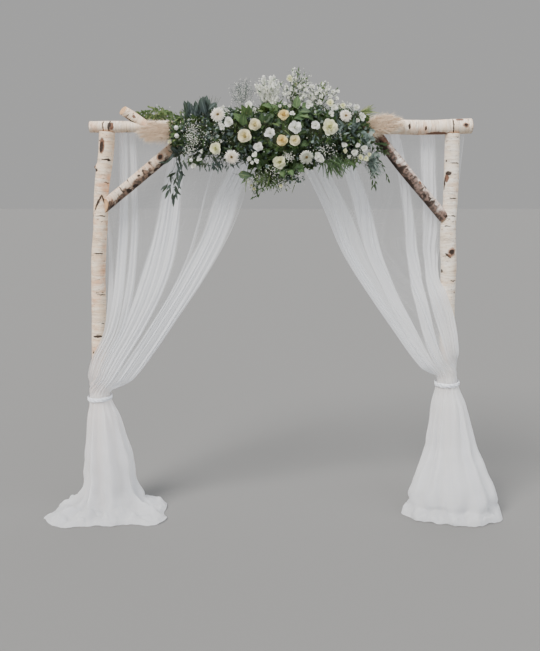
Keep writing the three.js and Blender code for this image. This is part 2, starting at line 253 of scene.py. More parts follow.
class Shape:
    """Points and faces gathered for one mesh, with a vector of marks for each point."""

    def __init__(self) -> None:
        """Start with nothing."""
        self.points: list[Array] = []
        self.faces: list[Array] = []
        self.slots: list[Array] = []
        self.marks: list[Array] = []
        self.count = 0

    def add(self, points: Array, faces: Array, marks: Array, slot: int = 0) -> None:
        """Add points with their faces.

        Args:
            points: three numbers a row.
            faces: point numbers, three or four a row.
            marks: three numbers a point.
            slot: number of the finish.
        """
        rows = np.asarray(points, float).reshape(-1, 3)
        self.points.append(rows)
        self.marks.append(np.broadcast_to(np.asarray(marks, float).reshape(-1, 3), rows.shape))
        self.faces.append(np.asarray(faces, int) + self.count)
        self.slots.append(np.full(len(faces), slot))
        self.count += len(rows)

    def stamp(self, template: Template, turns: Array, places: Array, sizes: Array | float,
              slot: int = 0, tint: Array | float = 0.0) -> None:
        """Add copies of a template."""
        made = template.copies(turns, places, sizes, tint)
        self.add(made.points, made.faces, made.marks, slot)

    def strands(self, paths: Array, radius: Array | float, sides: int = 3, slot: int = 0,
                tint: Array | float = 0.0) -> None:
        """Add thin stems or hairs along paths.

        Args:
            paths: one path of points a strand.
            radius: half thickness, one value or one a point.
            sides: 2 for a flat ribbon.
            slot: number of the finish.
            tint: shade of each strand.
        """
        amount, steps = paths.shape[:2]
        turns = aimed(paths[:, -1] - paths[:, 0], np.arange(amount) * 2.4)
        angle = np.arange(sides) * 2 * np.pi / sides
        thick = np.broadcast_to(radius, steps)[None, :, None, None]
        ring = np.cos(angle)[:, None] * turns[:, None, :, 0] + np.sin(angle)[:, None] * turns[:, None, :, 1]
        points = paths[:, :, None] + ring[:, None] * thick
        one = grid_faces(steps, sides, closed=sides > 2)
        faces = one[None] + (np.arange(amount) * steps * sides)[:, None, None]
        marks = np.zeros((amount, steps, sides, 3))
        marks[..., 0] = np.cos(angle)
        marks[..., 1] = np.linspace(0, 1, steps)[None, :, None]
        marks[..., 2] = np.broadcast_to(tint, amount)[:, None, None]
        self.add(points, faces.reshape(-1, 4), marks.reshape(-1, 3), slot)

    def piece(self, name: str, finishes: Sequence[Finish], node: str, slot: str) -> bpy.types.Object:
        """Make the mesh object, ride it on the arch and report it.

        Args:
            name: its name.
            finishes: materials in slot order.
            node: solid that it stands for.
            slot: the record's material slot; not used.

        Returns:
            The new object.
        """
        points = np.concatenate(self.points)
        corners = np.concatenate([f.ravel() for f in self.faces])
        sizes = np.concatenate([np.full(len(f), f.shape[1]) for f in self.faces])
        starts = np.concatenate([[0], np.cumsum(sizes)[:-1]])
        mesh = bpy.data.meshes.new(name)
        mesh.vertices.add(len(points))
        mesh.vertices.foreach_set("co", points.astype(np.float32).ravel())
        mesh.loops.add(len(corners))
        mesh.loops.foreach_set("vertex_index", corners.astype(np.int32))
        mesh.polygons.add(len(sizes))
        mesh.polygons.foreach_set("loop_start", starts.astype(np.int32))
        for finish in finishes:
            mesh.materials.append(finish)
        mesh.polygons.foreach_set("material_index", np.concatenate(self.slots).astype(np.int32))
        mesh.polygons.foreach_set("use_smooth", np.ones(len(sizes), bool))
        marks = mesh.attributes.new("marks", "FLOAT_VECTOR", "POINT")
        marks.data.foreach_set("vector", np.concatenate(self.marks).astype(np.float32).ravel())
        mesh.update(calc_edges=True)
        piece = bpy.data.objects.new(name, mesh)
        bpy.context.scene.collection.objects.link(piece)
        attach(piece, BODY)
        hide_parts(node)
        log.info("%s: %d faces", name, len(sizes))
        return piece


# Finishes

def operation(name: str, swapped: bool = False) -> Callable[["Value", "Input"], "Value"]:
    """An operator that adds one Math node.

    Args:
        name: the node's operation.
        swapped: whether the socket is on the right.

    Returns:
        The operator.
    """
    def apply(first: "Value", second: "Input" = 0.0) -> "Value":
        """The node's result."""
        pair = (second, first) if swapped else (first, second)
        return first.shader.node("ShaderNodeMath", {"operation": name}, dict(enumerate(pair)))
    return apply


class Value:
    """A socket that gives numbers, with Python's operators as Math nodes."""

    __add__, __radd__ = operation("ADD"), operation("ADD", True)
    __sub__, __rsub__ = operation("SUBTRACT"), operation("SUBTRACT", True)
    __mul__, __rmul__ = operation("MULTIPLY"), operation("MULTIPLY", True)
    __pow__, size, wave = operation("POWER"), operation("ABSOLUTE"), operation("SINE")

    def __init__(self, shader: "Shader", socket: bpy.types.NodeSocket) -> None:
        """Keep the socket and the shader that it belongs to."""
        self.shader = shader
        self.socket = socket

    def eased(self, low: float, high: float) -> "Value":
        """0 below low, 1 above high and smooth between; the other way round if low is higher."""
        span = {"Value": self, "From Min": low, "From Max": high}
        return self.shader.node("ShaderNodeMapRange", {"interpolation_type": "SMOOTHSTEP"}, span)


Input = Value | float | Sequence[float]


class Shader:
    """A material under construction: one method adds every kind of node."""

    def __init__(self, name: str) -> None:
        """Make an empty material.

        Args:
            name: its name.
        """
        self.material = bpy.data.materials.new(name)
        self.material.use_nodes = True
        self.graph = self.material.node_tree
        self.graph.nodes.clear()

    def node(self, kind: str, settings: dict[str, object] | None = None,
             inputs: dict[str | int, Input] | None = None, output: int = 0) -> Value:
        """Add one node.

        Args:
            kind: Blender's type.
            settings: its properties; stops are a ramp's stops.
            inputs: a value or a link for each socket.
            output: number of the one used.

        Returns:
            The chosen output.
        """
        node = self.graph.nodes.new(kind)
        for name, value in (settings or {}).items():
            if name == "stops":
                self._set_stops(node, value)
            else:
                setattr(node, name, value)
        for key, value in (inputs or {}).items():
            if isinstance(value, Value):
                self.graph.links.new(value.socket, node.inputs[key])
            else:
                node.inputs[key].default_value = value
        return Value(self, node.outputs[output] if node.outputs else None)

    @staticmethod
    def _set_stops(node: bpy.types.Node, stops: Sequence[tuple[float, Colour]]) -> None:
        """Give a colour ramp its stops.

        Args:
            node: the ramp.
            stops: places from 0 to 1 with their colours.
        """
        elements = node.color_ramp.elements
        while len(elements) < len(stops):
            elements.new(1.0)
        for element, (place, colour) in zip(elements, stops):
            element.position = place
            element.color = (*colour, 1.0)

    def marks(self) -> Value:
        """The vector that the mesh carries for each point."""
        return self.node("ShaderNodeAttribute", {"attribute_name": "marks"}, output=1)

    def place(self) -> Value:
        """The place of each point of the surface."""
        return self.node("ShaderNodeNewGeometry")

    def parts(self, vector: Value) -> tuple[Value, Value, Value]:
        """The three numbers of a vector."""
        outputs = self.node("ShaderNodeSeparateXYZ", inputs={0: vector}).socket.node.outputs
        return tuple(Value(self, output) for output in outputs)

    def vector(self, operation: str, first: Input, second: Input, output: int = 0) -> Value:
        """One Vector Math node."""
        return self.node("ShaderNodeVectorMath", {"operation": operation}, {0: first, 1: second}, output)

    def noise(self, vector: Value, scale: Sequence[float], detail: float = 2.0, output: int = 0) -> Value:
        """Noise of about 0.3 to 0.7 at a place in metres; scale is in waves a metre."""
        inputs = {"Vector": self.vector("MULTIPLY", vector, scale), "Scale": 1.0, "Detail": detail}
        return self.node("ShaderNodeTexNoise", inputs=inputs, output=output)

    def shaken(self, vector: Value, scale: Sequence[float], detail: float, reach: Sequence[float]) -> Value:
        """A place moved about by noise, as far as reach on each axis."""
        shake = self.vector("SUBTRACT", self.noise(vector, scale, detail, output=1), (0.5, 0.5, 0.5))
        return self.vector("ADD", vector, self.vector("MULTIPLY", shake, reach))

    def mix(self, factor: Input, first: Input, second: Input) -> Value:
        """Blend two colours, or links to them, by the share of the second."""
        pair = [(*c, 1.0) if isinstance(c, tuple) else c for c in (first, second)]
        return self.node("ShaderNodeMix", {"data_type": "RGBA"}, {0: factor, 6: pair[0], 7: pair[1]}, 2)

    def ramp(self, value: Value, stops: Sequence[tuple[float, Colour]]) -> Value:
        """Colour a value by ramp stops."""
        return self.node("ShaderNodeValToRGB", {"stops": stops}, {0: value})

    def bump(self, height: Value, depth: float) -> Value:
        """Surface relief of a depth in metres."""
        return self.node("ShaderNodeBump", inputs={"Height": height, "Distance": depth, "Strength": 1.0})

    def principled(self, **inputs: Input) -> Value:
        """Add the main surface shader.

        Args:
            inputs: values or links of its sockets, whose names have _ for a space.

        Returns:
            The shader.
        """
        named = {name.replace("_", " "): value for name, value in inputs.items()}
        for name, value in named.items():
            if isinstance(value, tuple) and len(value) == 3:
                named[name] = (*value, 1.0)
        return self.node("ShaderNodeBsdfPrincipled", inputs=named)

    def blend(self, factor: Input, first: Value, second: Value) -> Value:
        """Mix two surface shaders."""
        return self.node("ShaderNodeMixShader", inputs={0: factor, 1: first, 2: second})

    def thin(self, front: Value, through: Colour, share: float) -> Value:
        """A surface that lets a share of the light through, in a colour."""
        back = self.node("ShaderNodeBsdfTranslucent", inputs={"Color": (*through, 1.0)})
        return self.blend(share, front, back)

    def done(self, surface: Value) -> Finish:
        """Send a surface to the output."""
        self.node("ShaderNodeOutputMaterial", inputs={"Surface": surface})
        return self.material


class MarkKind(Enum):
    """What a mark on the bark is."""

    STAIN = "brown patch"
    DASH = "dark line of the bark"
    BLOTCH = "dark rough patch"
    KNOT = "dark knot with a brown rim"


@dataclass(frozen=True)
class Mark:
    """A mark on a log: millimetres along it, degrees round from the front, half sizes in millimetres."""

    kind: MarkKind
    along: float
    turn: float
    wide: float
    tall: float
    swell: float = 0.0
    tilt: float = 0.0


def marks_of(**rows: Sequence[Sequence[float]]) -> tuple[Mark, ...]:
    """The marks of a log, listed by kind."""
    return tuple(Mark(MarkKind[kind], *row) for kind, group in rows.items() for row in group)


@dataclass(frozen=True)
class BirchBark:
    """Colours and amounts of papery birch bark.

    One side, given in degrees round from the front, is darkened by a share: crust-brown weathered bark
    together with painted shade on the log's underside.
    """

    cream: Colour = (0.83, 0.64, 0.46)
    peach: Colour = (0.74, 0.45, 0.28)
    pale: Colour = (0.91, 0.80, 0.66)
    dark: Colour = (0.035, 0.022, 0.016)
    brown: Colour = (0.17, 0.085, 0.05)
    patches: float = 0.67
    # Colour of the darkened side: weathered crust together with painted shade.
    crust_and_shade: Colour = (0.24, 0.145, 0.10)
    dashes: float = 0.69
    shade_and_weather_side: float = 0.0
    shade_and_weather_share: float = 0.0


class BarkPaint:
    """The bark of one log, laid on layer by layer: lenticels, patches and single marks."""

    def __init__(self, name: str, look: BirchBark, radius: float) -> None:
        """Start with the skin.

        Args:
            name: of the material.
            look: colours and amounts.
            radius: mean radius in metres.
        """
        self.look, self.radius = look, radius
        self.shader = shader = Shader(name)
        self.wood = shader.marks()
        self.ragged = shader.shaken(self.wood, (60, 60, 60), 3, (0.014, 0.014, 0.014))
        warm = shader.noise(self.wood, (9, 9, 7), 3).eased(0.40, 0.62)
        belts = shader.noise(self.ragged, (5, 5, 38), 3).eased(0.44, 0.62)
        self.chalk = shader.noise(self.ragged, (24, 24, 40), 4).eased(0.47, 0.62)
        skin = shader.mix(warm, look.cream, look.peach)
        skin = shader.mix(belts * 0.55 + self.chalk * 0.4, skin, look.pale)
        lines = shader.noise(self.ragged, (14, 14, 420), 2).eased(0.50, 0.68)
        dash = shader.noise(self.ragged, (34, 34, 230), 1).eased(look.dashes, look.dashes + 0.035)
        patch = shader.noise(self.ragged, (19, 19, 46), 4).eased(look.patches, look.patches + 0.05)
        self.skin = shader.mix(dash * 0.75, shader.mix(lines * 0.38, skin, look.brown), look.brown)
        # Painted underside shade, together with weathered brown bark, where a side is given.
        if look.shade_and_weather_share:
            self._paint_shade_and_weather()
        self.skin = shader.mix(patch * 0.96, self.skin, look.dark)
        self.relief = lines * 0.3 + self.chalk * 0.2 - dash * 0.4 - patch * 0.5

    def _paint_shade_and_weather(self) -> None:
        """Lay brown, mottled bark on one side: weathered bark together with painted underside shade."""
        shader, look, shade_and_weather_side = self.shader, self.look, math.radians(self.look.shade_and_weather_side)
        facing = (math.sin(shade_and_weather_side) / self.radius, -math.cos(shade_and_weather_side) / self.radius, 0.0)
        side = shader.vector("DOT_PRODUCT", self.wood, facing, 1)
        mottle = shader.noise(self.ragged, (26, 26, 22), 4)
        # Painted shade with weathered bark: the more a point faces the given side, the darker it is.
        shade_and_weather = (side + (mottle - 0.5) * 4.2).eased(1.15 - look.shade_and_weather_share, 1.75 - look.shade_and_weather_share)
        rough = shader.noise(self.ragged, (70, 70, 90), 3).eased(0.42, 0.6)
        self.skin = shader.mix(shade_and_weather * 0.92, self.skin, shader.mix(rough, look.crust_and_shade, look.dark))

    def add(self, mark: Mark) -> None:
        """Lay one mark on the colour and the relief.

        Args:
            mark: what it is, where and how large.
        """
        shader, turn = self.shader, math.radians(mark.turn)
        local = shader.node("ShaderNodeMapping", {"vector_type": "TEXTURE"}, {
            "Vector": self.ragged, "Rotation": (0, math.radians(mark.tilt), turn),
            "Location": (self.radius * math.sin(turn), -self.radius * math.cos(turn), mark.along * MM),
            "Scale": (mark.wide * MM, self.radius * 0.8, mark.tall * MM)})
        away = shader.node("ShaderNodeVectorMath", {"operation": "LENGTH"}, {0: local}, 1)
        inside = away.eased(1.15, 0.85)
        if mark.kind is MarkKind.KNOT:
            ringed = shader.mix(away.eased(1.5, 0.95) * 0.85, self.skin, (0.30, 0.15, 0.09))
            self.skin = shader.mix(away.eased(0.95, 0.65), ringed, self.look.dark)
            self.relief = self.relief + inside * away.eased(0.6, 0.8) * 0.8 - inside * 0.4
        else:
            colour = (0.17, 0.085, 0.055) if mark.kind is MarkKind.STAIN else self.look.dark
            self.skin = shader.mix(inside * 0.98, self.skin, colour)
            self.relief = self.relief - inside * 0.5

    def done(self) -> Finish:
        """The finished material."""
        bump = self.shader.bump(self.relief, 0.0028)
        return self.shader.done(self.shader.principled(
            Base_Color=self.skin, Roughness=0.62 + 0.25 * self.chalk, Normal=bump, Specular_IOR_Level=0.3))


@dataclass(frozen=True)
class SawnWood:
    """A sawn log end with growth rings and fine checks."""

    early: Colour = (0.70, 0.44, 0.24)
    late: Colour = (0.36, 0.18, 0.08)

    def material(self) -> Finish:
        """Make the finish, whose rings follow the distance from the heart.

        Returns:
            The material.
        """
        shader = Shader("sawn_wood")
        wood = shader.marks()
        flat = shader.vector("MULTIPLY", wood, (1, 1, 0))
        shake = shader.noise(flat, (40, 40, 1), 3)
        away = shader.vector("DISTANCE", flat, (0.004, 0.002, 0.0), 1)
        ring = ((away * 2300.0 + shake * 7.0).wave() * 0.5 + 0.5) ** 2.0
        check = shader.noise(flat, (420, 60, 1), 2).eased(0.62, 0.72)
        colour = shader.mix(ring * 0.6, self.early, self.late)
        colour = shader.mix(away.eased(0.026, 0.036) * 0.7, colour, self.late)
        colour = shader.mix(check * 0.5, colour, (0.12, 0.06, 0.03))
        relief = shader.bump(ring - check, 0.0008)
        return shader.done(shader.principled(Base_Color=colour, Roughness=0.8, Normal=relief))


@dataclass(frozen=True)
class Voile:
    """Sheer white cloth: see-through where it lies in one layer, dense where it is gathered.

    The marks of a point are its place on the flat cloth and the share of the view that it covers.
    """

    white: Colour = (0.91, 0.925, 0.95)
    shade: Colour = (0.86, 0.88, 0.93)
    through: Colour = (0.93, 0.945, 0.97)
    glow: float = 0.56

    def material(self) -> Finish:
        """Make the finish.

        Returns:
            The material.
        """
        shader = Shader("voile")
        cloth = shader.marks()
        density = shader.parts(cloth)[2]
        flat = shader.vector("MULTIPLY", cloth, (1, 1, 0))
        drifting = shader.shaken(flat, (2.5, 1.6, 1), 2, (0.09, 0, 0))
        pleats = shader.noise(drifting, (60, 0.9, 1), 3)
        warp = shader.noise(flat, (900, 12, 1), 1)
        weft = shader.noise(flat, (14, 700, 1), 1)
        crease = shader.noise(flat, (24, 7, 1), 3)
        thread = (warp + weft - 1.0) * 0.35
        open_share = (1.0 - density) * (1.0 + (0.5 - pleats) * density * 1.6 - thread)
        tone = shader.mix((pleats * 0.7 + crease * 0.3).eased(0.38, 0.60), self.shade, self.white)
        relief = shader.bump(pleats * 0.8 + crease * 0.5 + thread * 0.4, 0.003)
        front = shader.principled(Base_Color=tone, Roughness=0.85, Normal=relief, Specular_IOR_Level=0.2,
                                  Sheen_Weight=0.25)
        open_weave = shader.node("ShaderNodeBsdfTransparent")
        lit = shader.thin(front, self.through, self.glow)
        return shader.done(shader.blend(1.0 - open_share, open_weave, lit))


@dataclass(frozen=True)
class Band:
    """The gathered white band that ties a drape."""

    white: Colour = (0.84, 0.87, 0.93)

    def material(self) -> Finish:
        """Make the finish with a close weave and painted shade in its folds.

        Returns:
            The material.
        """
        shader = Shader("tie_cloth")
        place = shader.marks()
        weave = shader.noise(place, (600, 600, 600), 1)
        fold = shader.noise(place, (30, 160, 30), 3)
        # Painted shade: the band turns blue-grey where the fold noise rises, as in its creases.
        colour = shader.mix(fold.eased(0.35, 0.7), self.white, (0.70, 0.73, 0.80))
        relief = shader.bump(fold + weave * 0.2, 0.001)
        surface = shader.principled(Base_Color=colour, Roughness=0.8, Sheen_Weight=0.3, Normal=relief)
        return shader.done(surface)


@dataclass(frozen=True)
class Leafage:
    """Leaves: marks are across, along the leaf, and shade."""

    name: str
    stops: tuple[tuple[float, Colour], ...]
    vein: Colour = (0.20, 0.28, 0.12)
    roughness: float = 0.45
    through: Colour = (0.16, 0.26, 0.05)
    glow: float = 0.18

    def material(self) -> Finish:
        """Make the finish with a midrib, side veins and uneven colour.

        Returns:
            The material.
        """
        shader = Shader(self.name)
        across, run, tint = shader.parts(shader.marks())
        mottle = shader.noise(shader.place(), (55, 55, 55), 2)
        colour = shader.ramp(tint + (mottle - 0.5) * 0.35, self.stops)
        midrib = across.size().eased(0.16, 0.05)
        side = ((run * 60.0 + across.size() * -14.0).wave() * 0.5 + 0.5) ** 6.0
        colour = shader.mix(midrib * 0.45 + side * 0.08, colour, self.vein)
        colour = shader.mix(mottle.eased(0.66, 0.74) * 0.4, colour, (0.25, 0.22, 0.08))
        front = shader.principled(Base_Color=colour, Roughness=self.roughness + 0.25 * mottle,
                                  Normal=shader.bump(side - midrib, 0.0006), Specular_IOR_Level=0.45)
        return shader.done(shader.thin(front, self.through, self.glow))


@dataclass(frozen=True)
class Petals:
    """Petals: marks are across, from base to rim, and shade towards the warm colour."""

    name: str
    throat_and_crevice_shade: Colour
    body: Colour
    rim: Colour
    warm: Colour
    glow: float = 0.3

    def material(self) -> Finish:
        """Make the finish with fine veins along the petal and a darker throat, which is partly the petal's
        own colour and partly painted shade in the crevices between petals.

        Returns:
            The material.
        """
        shader = Shader(self.name)
        across, run, tint = shader.parts(shader.marks())
        mottle = shader.noise(shader.place(), (70, 70, 70), 2)
        body = shader.mix(tint.eased(0.0, 1.0), self.body, self.warm)
        # The petal darkens towards its base: the throat's own colour together with painted crevice shade.
        colour = shader.mix(run.eased(0.86, 0.30) * 0.75, body, self.throat_and_crevice_shade)
        colour = shader.mix(run.eased(0.80, 1.0), colour, self.rim)
        vein = ((across * 34.0).wave() * 0.5 + 0.5) ** 3.0
        colour = shader.mix(vein * 0.12 + mottle.eased(0.5, 0.8) * 0.15, colour, self.throat_and_crevice_shade)
        front = shader.principled(Base_Color=colour, Roughness=0.55 + 0.2 * mottle, Sheen_Weight=0.2,
                                  Normal=shader.bump(vein * 0.5 + mottle, 0.0006))
        return shader.done(shader.thin(front, self.body, self.glow))


@dataclass(frozen=True)
class Plumage:
    """Dry pampas hair: darker at the root, silky at the tip."""

    root: Colour = (0.58, 0.42, 0.30)
    tip: Colour = (0.92, 0.82, 0.66)

    def material(self) -> Finish:
        """Make the finish.

        Returns:
            The material.
        """
        shader = Shader("pampas_hair")
        _, run, tint = shader.parts(shader.marks())
        colour = shader.mix(run.eased(0.0, 0.7), self.root, self.tip)
        colour = shader.mix(tint * 0.3, colour, (0.66, 0.48, 0.35))
        front = shader.principled(Base_Color=colour, Roughness=0.7, Sheen_Weight=0.4)
        return shader.done(shader.thin(front, (0.78, 0.62, 0.47), 0.4))


@dataclass(frozen=True)
class PlainGrowth:
    """Stems, cores and seed heads in one mottled colour."""

    name: str
    first: Colour
    second: Colour
    grain: float = 160.0

    def material(self) -> Finish:
        """Make the finish.

        Returns:
            The material.
        """
        shader = Shader(self.name)
        mottle = shader.noise(shader.place(), (self.grain,) * 3, 4)
        colour = shader.mix(mottle.eased(0.35, 0.65), self.first, self.second)
        relief = shader.bump(mottle, 0.002)
        return shader.done(shader.principled(Base_Color=colour, Roughness=0.8, Normal=relief))


@dataclass(frozen=True)
class FootPaint:
    """Matt dark paint on the steel feet, scuffed in places."""

    paint: Colour = (0.045, 0.045, 0.05)

    def material(self) -> Finish:
        """Make the finish.

        Returns:
            The material.
        """
        shader = Shader("foot_paint")
        place = shader.place()
        relief = shader.bump(shader.noise(place, (900, 900, 900), 2), 0.0002)
        scuff = shader.noise(place, (35, 35, 35), 5).eased(0.6, 0.7)
        colour = shader.mix(scuff * 0.6, self.paint, (0.16, 0.15, 0.15))
        return shader.done(shader.principled(Base_Color=colour, Roughness=0.5 + 0.2 * scuff, Normal=relief))


# Timber

@dataclass
class BirchLog:
    """A birch log along a bowed path; lengths in millimetres."""

    name: str
    path: Sequence[Place]
    radii: Sequence[float]
    bark: BirchBark
    marks: tuple[Mark, ...] = ()
    rings: int = 150
    sides: int = 48
    seed: int = 1
    start_cut: Pair = (0.0, 0.0)
    end_cut: Pair = (0.0, 0.0)
    roughness: float = 0.9

    def __post_init__(self) -> None:
        """Lay out the middle line, the distance along it and the directions out of it."""
        self.t = np.linspace(0, 1, self.rings)
        self.centre = self.axis(self.t)
        self.along = unit(np.gradient(self.centre, axis=0))
        front = unit(np.array([0.0, -1.0, 0.0]) + self.along * self.along[:, 1:2])
        side = np.cross(self.along, front)
        steps = np.linalg.norm(np.diff(self.centre, axis=0), axis=1)
        self.distance = np.concatenate([[0], np.cumsum(steps)])[:, None]
        self.angle = np.arange(self.sides) * 2 * np.pi / self.sides
        turn = self.angle[:, None]
        self.wheel = front[:, None] * np.cos(turn) + side[:, None] * np.sin(turn)

    def axis(self, t: Array) -> Array:
        """Points on the middle line, in metres."""
        return spline(self.path, t) * MM

    def radius(self, t: Array) -> Array:
        """The mean radius, in metres."""
        return np.interp(t, np.linspace(0, 1, len(self.radii)), self.radii) * MM

    def dressing(self) -> Finish:
        """The log's own bark.

        Returns:
            The material.
        """
        paint = BarkPaint(f"bark_{self.name}", self.bark, float(np.mean(self.radii)) * MM)
        for mark in self.marks:
            paint.add(mark)
        return paint.done()

    def gather(self, shape: Shape, slots: tuple[int, int] = (0, 1)) -> None:
        """Add the bark and both sawn ends.

        Args:
            shape: the mesh.
            slots: numbers of bark and sawn wood.
        """
        radius = self._uneven()
        points = self.centre[:, None] + self.wheel * radius[..., None]
        points += self.along[:, None] * self._cuts(radius)[..., None]
        distance = np.broadcast_to(self.distance, radius.shape)
        wood = np.stack([radius * np.sin(self.angle), -radius * np.cos(self.angle), distance], -1)
        shape.add(points, grid_faces(self.rings, self.sides, closed=True), wood, slots[0])
        for end in (0, -1):
            self._cap(shape, points[end], wood[end], end, slots[1])

    def _uneven(self) -> Array:
        """The radius at each ring and side, with dents, ribs and swollen marks.

        Returns:
            Lengths in metres.
        """
        mean = self.radius(self.t)[:, None]
        skin = self.centre[:, None] + self.wheel * mean[..., None]
        radius = mean * (1 + 0.02 * np.sin(2 * self.angle + 7 * self.t[:, None]))
        radius = radius + Ripple(self.seed, 0.22).at(skin) * self.roughness * MM
        radius = radius + Ripple(self.seed + 50, 0.045).at(skin) * 0.35 * self.roughness * MM
        for mark in self.marks:
            if mark.swell:
                turn = (self.angle - math.radians(mark.turn) + np.pi) % (2 * np.pi) - np.pi
                around = turn * mean / (mark.wide * MM)
                along = (self.distance / MM - mark.along) / mark.tall
                radius = radius + mark.swell * MM * np.exp(-0.8 * (around**2 + along**2))
        return radius

    def _cuts(self, radius: Array) -> Array:
        """How far each point slides along the log where the saw cut its ends aslant.

        Args:
            radius: of each point.

        Returns:
            Lengths in metres.
        """
        reach = 0.12
        first, last = (radius * (front * np.cos(self.angle) + side * np.sin(self.angle))
                       for front, side in (self.start_cut, self.end_cut))
        to_end = self.distance[-1] - self.distance
        return first * ease(1 - self.distance / reach) - last * ease(1 - to_end / reach)

    def _cap(self, shape: Shape, ring: Array, wood: Array, end: int, slot: int) -> None:
        """Close an end with a slightly rounded sawn face.

        Args:
            shape: the mesh.
            ring: the last ring of points.
            wood: their marks.
            end: 0 at the start, -1 at the end.
            slot: number of the finish.
        """
        outward = self.along[end] if end else -self.along[end]
        shares = np.array([1.0, 0.97, 0.7, 0.4, 0.12])
        lift = np.array([0.0, 1.2, 1.6, 1.2, 1.4]) * MM
        middle, heart = ring.mean(0), wood.mean(0)
        points = middle + (ring - middle) * shares[:, None, None] + outward * lift[:, None, None]
        marks = heart + (wood - heart) * shares[:, None, None]
        turn = np.arange(len(ring))
        fan = np.stack([turn, (turn + 1) % len(ring), np.full(len(ring), len(ring))], -1)
        order = slice(None) if end else slice(None, None, -1)
        shape.add(points, grid_faces(len(shares), len(ring), closed=True)[:, order], marks, slot)
        inner = np.vstack([points[-1], middle + outward * lift[-1]])
        shape.add(inner, fan[:, order], np.vstack([marks[-1], heart]), slot)


